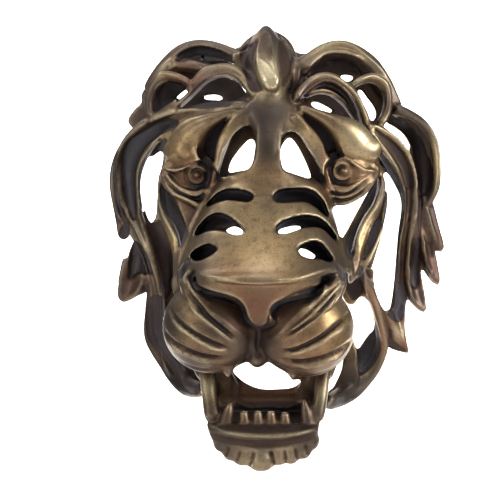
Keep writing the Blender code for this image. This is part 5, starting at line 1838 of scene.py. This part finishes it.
    @staticmethod
    def join(parts: list[bpy.types.Object]) -> bpy.types.Object:
        """Put all the forms in one object.

        Args:
            parts: The forms, which are used up.

        Returns:
            The mask.
        """
        mesh = bmesh.new()
        for part in parts:
            mesh.from_mesh(part.data)
        mask = show(Modeller.finished("lion_head_mask", mesh))
        for part in parts:
            bpy.data.objects.remove(part)
        return mask

    @staticmethod
    def arrays(mesh: bpy.types.Mesh) -> tuple[np.ndarray, np.ndarray]:
        """Read a mesh's places in millimetres and its normals.

        Args:
            mesh: The mask's mesh.

        Returns:
            Rows of places, and rows of normals.
        """
        out = []
        for name in ("co", "normal"):
            values = np.empty(len(mesh.vertices) * 3)
            mesh.vertices.foreach_get(name, values)
            out.append(values.reshape(-1, 3))
        return out[0] / MM, out[1]

    def marks(self, mesh: bpy.types.Mesh) -> tuple[np.ndarray, np.ndarray, np.ndarray]:
        """Read what the strokes and the panels do to each vertex that they are seen on.

        Args:
            mesh: The mask's mesh.

        Returns:
            How far it sinks in mm, how much shade is painted on it, and how much highlight.
        """
        places, normals = self.arrays(mesh)
        seen = self.sheet.seen(places)
        toward = np.array(self.sheet.station) - places
        toward /= np.linalg.norm(toward, axis=1)[:, None]
        turned = (normals * toward).sum(axis=1)
        facing = np.clip(self.facing_gain * turned, 0, 1)
        lit = np.clip(self.lit_gain * turned, 0, 1)
        sink, dark, pale = np.zeros((3, len(places)))

        def under(rows: np.ndarray, reach: float, band: Stroke | Panel) -> np.ndarray:
            """Find the vertices near a line.

            Args:
                rows: The line's places on the sheet.
                reach: How far from it.
                band: What holds its band of out.

            Returns:
                The vertices' indices.
            """
            return np.nonzero(
                (seen > rows.min(axis=0) - reach).all(axis=1)
                & (seen < rows.max(axis=0) + reach).all(axis=1)
                & (-places[:, 1] > band.nearest) & (-places[:, 1] < band.furthest)
                & (facing > 0)
            )[0]

        for assembly in self.assemblies():
            for panel in assembly.panels:
                rows = smooth_rows(panel.outline, self.line_spacing, closed=True)
                rows = np.vstack([rows, rows[:1]])
                index = under(rows, self.panel_edge, panel)
                if len(index):
                    away = line_gap(seen[index], rows)[0]
                    away = np.where(inside_line(seen[index], rows), away, -away)
                    share = np.clip(0.5 + away / self.panel_edge, 0, 1)
                    sink[index] += panel.depth * share * facing[index]
                    # A panel paints shade, or a highlight where its dark is below zero, on faces
                    # to the station.
                    tone = share * lit[index]
                    dark[index] = np.maximum(dark[index], panel.dark * tone)
                    pale[index] = np.maximum(pale[index], -panel.dark * tone)
            for stroke in assembly.strokes():
                rows = smooth_rows(stroke.line, self.line_spacing)
                index = under(rows, self.stroke_reach * stroke.half_width, stroke)
                if len(index):
                    away, along = line_gap(seen[index], rows)
                    share = self.stroke_fade * np.minimum(along, 1 - along)
                    share = np.clip(share, self.stroke_end, 1) * facing[index]
                    share *= np.exp(-((away / stroke.half_width) ** 2))
                    sink[index] += stroke.cut.value * stroke.depth * share
                    strength = min(1.0, stroke.depth / self.full_mark) * share
                    # Grooves get painted shade; ridges get a painted highlight.
                    if stroke.cut is Cut.GROOVE:
                        dark[index] = np.maximum(dark[index], self.groove_dark * strength)
                    else:
                        pale[index] = np.maximum(pale[index], strength)
        return sink, dark, pale

    def carve(self, mask: bpy.types.Object) -> None:
        """Cut the grooves and panels and raise the ridges.

        Args:
            mask: The mask.
        """
        places, normals = self.arrays(mask.data)
        places -= normals * self.marks(mask.data)[0][:, None]
        mask.data.vertices.foreach_set("co", (places * MM).ravel())
        mask.data.update()

    def flatten_back(self, mask: bpy.types.Object) -> None:
        """Cut the back off at the wall, and drop the specks that thinning leaves.

        Args:
            mask: The mask.
        """
        mesh = bmesh.new()
        mesh.from_mesh(mask.data)
        left = set(mesh.verts)
        while left:
            front = [left.pop()]
            part = list(front)
            while front:
                for edge in front.pop().link_edges:
                    for vertex in edge.verts:
                        if vertex in left:
                            left.remove(vertex)
                            front.append(vertex)
                            part.append(vertex)
            if len(part) < self.stray_vertices:
                bmesh.ops.delete(mesh, geom=part, context="VERTS")
        everything = mesh.verts[:] + mesh.edges[:] + mesh.faces[:]
        cut = bmesh.ops.bisect_plane(mesh, geom=everything, plane_co=(0, 0, 0),
                                     plane_no=(0, 1, 0), clear_outer=True, dist=TINY)
        edges = [g for g in cut["geom_cut"] if isinstance(g, bmesh.types.BMEdge)]
        bmesh.ops.holes_fill(mesh, edges=edges)
        bmesh.ops.triangulate(mesh, faces=mesh.faces)
        bmesh.ops.recalc_face_normals(mesh, faces=mesh.faces)
        mesh.to_mesh(mask.data)
        mesh.free()

    def blur(self, mesh: bpy.types.Mesh, values: np.ndarray) -> np.ndarray:
        """Average a value over each vertex's neighbours.

        Args:
            mesh: The mask's mesh.
            values: A value for each vertex.

        Returns:
            The softened values.
        """
        start, end, count = edge_ends(mesh)
        size = len(values)
        for _ in range(self.blur_rounds):
            total = np.bincount(start, values[end], size) + np.bincount(end, values[start], size)
            values = (1 - self.blur_share) * values + self.blur_share * total / count
        return values

    def shelter(self, mask: bpy.types.Object) -> np.ndarray:
        """Measure how far each vertex is shut in by the metal round it, from 0 to 1.

        Args:
            mask: The mask.

        Returns:
            A value for each vertex.
        """
        places, normals = self.arrays(mask.data)
        tree = BVHTree.FromPolygons(
            [tuple(p) for p in places],
            [tuple(p.vertices) for p in mask.data.polygons],
        )
        golden = math.pi * (3 - math.sqrt(5))
        shut = np.zeros(len(places))
        rays = []
        for k in range(self.shelter_rays):
            height = 1 - (k + 0.5) / self.shelter_rays * self.shelter_cone
            flat = math.sqrt(1 - height * height)
            rays.append((flat * math.cos(golden * k), flat * math.sin(golden * k), height))
        level = np.abs(normals[:, 2:]) < self.shelter_level
        helper = np.where(level, [[0.0, 0.0, 1.0]], [[1.0, 0.0, 0.0]])
        side = np.cross(helper, normals)
        side /= np.linalg.norm(side, axis=1)[:, None]
        over = np.cross(normals, side)
        starts = places + self.shelter_lift * normals
        for x, y, z in rays:
            directions = x * side + y * over + z * normals
            for i, (start, direction) in enumerate(zip(starts.tolist(), directions.tolist())):
                far = tree.ray_cast(start, direction, self.shelter_reach)[3]
                if far is not None:
                    shut[i] += z * (1 - far / self.shelter_reach / 2)
        return shut / sum(ray[2] for ray in rays)

    def bend(self, mask: bpy.types.Object) -> np.ndarray:
        """Measure how sharply the surface bends outwards at each vertex.

        Args:
            mask: The mask.

        Returns:
            A value for each vertex, positive on an edge and negative in a crease.
        """
        places, normals = self.arrays(mask.data)
        start, end, count = edge_ends(mask.data)
        step = places[end] - places[start]
        length = np.maximum(np.linalg.norm(step, axis=1), TINY)
        turn = ((normals[end] - normals[start]) * step).sum(axis=1) / length**2
        size = len(places)
        return (np.bincount(start, turn, size) + np.bincount(end, turn, size)) / count

    def patches(self, seen: np.ndarray, patches: tuple[Hue, ...]) -> np.ndarray:
        """Spread the patches of a tint over the sheet, the strongest on top.

        Args:
            seen: Where each vertex is on the sheet.
            patches: The patches.

        Returns:
            The tint's strength at each vertex.
        """
        total = np.zeros(len(seen))
        for hue in patches:
            away = np.hypot(seen[:, 0] - hue.across, seen[:, 1] - hue.down) / hue.reach
            total = np.maximum(total, hue.strength * np.exp(-(away**2)))
        return total

    def tint(self, mask: bpy.types.Object, shut: np.ndarray, bend: np.ndarray) -> None:
        """Work out where wax and painted shade lie, where wax is rubbed off and
        highlights are painted, and where it is warm.

        Args:
            mask: The mask.
            shut: How far each vertex is shut in.
            bend: How sharply the surface bends outwards there.
        """
        seen = self.sheet.seen(self.arrays(mask.data)[0])
        gilt, warm, dull_and_shade, bright = (
            self.patches(seen, hues) for hues in
            (self.gilt_patches, self.warm_patches, self.dull_and_shade_patches, self.painted_highlight_patches)
        )
        dark, pale = self.marks(mask.data)[1:]
        # Wax in the hollows, and painted shade from shelter, creases and marks.
        wax_and_shade = self.wear.wax_and_shade(shut, bend, dark, pale)
        rub_and_highlight = self.wear.rub_and_highlight(shut, bend, dark, self.ridge_pale * pale, gilt)
        # The highlight patches add painted highlights where little shade lies.
        rub_and_highlight = np.maximum(rub_and_highlight, bright * (1 - wax_and_shade) ** 2)
        layers = {"wax_and_shade": wax_and_shade, "rub_and_highlight": rub_and_highlight, "warm": warm, "gilt": gilt, "dull_and_shade": dull_and_shade}
        for name, values in layers.items():
            layer = mask.data.attributes.new(name, "FLOAT", "POINT")
            layer.data.foreach_set("value", values.astype(np.float32))

    def dress(self, mask: bpy.types.Object) -> None:
        """Give the mask its finish.

        Args:
            mask: The mask.
        """
        # How shut in and how bent each vertex is sets its painted shade and highlights.
        shut = self.blur(mask.data, self.shelter(mask))
        bend = self.blur(mask.data, self.bend(mask))
        self.tint(mask, shut, bend)
        mask.data.materials.clear()
        mask.data.materials.append(self.finish.material())


@dataclass(frozen=True)
class SoftBox:
    """A round soft box: its place and size in metres, its power in watts, and its aim."""

    name: str
    place: Row
    size: float
    power: float
    aim: Row = (0.0, -0.05, -0.13)

    def hang(self) -> None:
        """Hang the soft box."""
        data = bpy.data.lights.new(self.name, "AREA")
        data.shape = "DISK"
        data.size = self.size
        data.energy = self.power
        light = show(bpy.data.objects.new(self.name, data))
        light.location = self.place
        aim = Vector(self.aim) - Vector(self.place)
        light.rotation_euler = aim.to_track_quat("-Z", "Y").to_euler()


@dataclass(frozen=True)
class PalePaper:
    """Matt background paper: a near white that only takes soft shadows."""

    colour: str = "#F4F3F1"
    roughness: float = 0.9

    def material(self) -> bpy.types.Material:
        """Build the finish.

        Returns:
            The material.
        """
        material = bpy.data.materials.new("pale_paper")
        material.use_nodes = True
        shader = material.node_tree.nodes["Principled BSDF"]
        shader.inputs["Base Color"].default_value = linear(self.colour)
        shader.inputs["Roughness"].default_value = self.roughness
        return material


@dataclass
class Studio:
    """A pale sweep behind the mask, soft boxes and the camera at the drawing station."""

    sheet: Sheet
    soft_boxes: tuple[SoftBox, ...] = (
        SoftBox("key", (0.95, -0.55, 0.15), 0.5, 6.0),
        SoftBox("upper", (0.3, -0.75, 0.8), 0.4, 2.0),
        SoftBox("left", (-0.75, -0.7, 0.5), 0.35, 2.0),
        SoftBox("low left", (-0.75, -0.95, -0.3), 0.4, 1.6),
        SoftBox("top", (-0.15, -0.1, 0.9), 0.4, 1.1),
        SoftBox("far left", (-0.6, 0.25, 0.65), 0.4, 2.0),
        SoftBox("paper left", (-0.75, 0.2, -0.1), 0.5, 30.0, (-0.6, 0.9, -0.1)),
        SoftBox("paper right", (0.75, 0.2, -0.1), 0.5, 30.0, (0.6, 0.9, -0.1)),
    )
    room: str = "#FFFFFF"
    room_light: float = 0.32
    paper: PalePaper = PalePaper()
    near_clip: float = 0.01
    sensor_mm: float = 36.0
    photo_units: float = 500.0
    sweep_width: float = 0.62
    sweep_front: float = -2.0
    sweep_back: float = 0.9
    sweep_height: float = 2.4
    sweep_drop: float = 0.25
    sweep_radius: float = 0.5
    sweep_steps: int = 12

    def camera(self) -> None:
        """Set the camera where the sheet was drawn from."""
        data = bpy.data.cameras.new("camera")
        data.sensor_width = self.sensor_mm
        data.lens = self.sensor_mm * self.sheet.focus / self.photo_units
        data.clip_start = self.near_clip
        camera = show(bpy.data.objects.new("camera", data))
        turn = Matrix((self.sheet.right, self.sheet.up, self.sheet.back)).transposed()
        camera.matrix_world = Matrix.Translation(self.sheet.station * MM) @ turn.to_4x4()
        bpy.context.scene.camera = camera

    def sweep(self, floor: float) -> None:
        """Build the pale floor, well below the mask, that curves up behind it.

        Args:
            floor: The height of the mask's lowest point, in metres.
        """
        floor -= self.sweep_drop
        profile = [(self.sweep_front, floor), (self.sweep_back - self.sweep_radius, floor)]
        for k in range(1, self.sweep_steps + 1):
            turn = math.pi / 2 * k / self.sweep_steps
            profile.append((
                self.sweep_back - self.sweep_radius * (1 - math.sin(turn)),
                floor + self.sweep_radius * (1 - math.cos(turn)),
            ))
        profile.append((self.sweep_back, floor + self.sweep_height))
        mesh = bmesh.new()
        rows = [[mesh.verts.new((x, y, z)) for x in (-self.sweep_width, self.sweep_width)]
                for y, z in profile]
        for a, b in zip(rows, rows[1:]):
            mesh.faces.new((a[0], a[1], b[1], b[0]))
        bmesh.ops.recalc_face_normals(mesh, faces=mesh.faces)
        sweep = Modeller.finished("paper_sweep", mesh)
        sweep.data.shade_smooth()
        sweep.data.materials.append(self.paper.material())
        show(sweep)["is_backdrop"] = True

    def light(self) -> None:
        """Light the mask and the paper behind it."""
        world = bpy.data.worlds.new("studio")
        bpy.context.scene.world = world
        world.use_nodes = True
        background = world.node_tree.nodes["Background"]
        background.inputs["Color"].default_value = linear(self.room)
        background.inputs["Strength"].default_value = self.room_light
        for soft_box in self.soft_boxes:
            soft_box.hang()
        bpy.context.scene.view_settings.view_transform = "Standard"


def main() -> None:
    """Load the frame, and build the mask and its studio."""
    logging.basicConfig(level=logging.INFO, format="%(name)s: %(message)s")
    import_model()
    cad_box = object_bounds()
    sheet = Sheet()
    studio = Studio(sheet)
    studio.camera()
    lion = LionMask(sheet)
    mask = lion.build()
    lion.dress(mask)
    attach(mask, "root")
    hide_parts("lion_mask")
    studio.sweep(cad_box[0][2])
    studio.light()


if __name__ == "__main__":
    main()
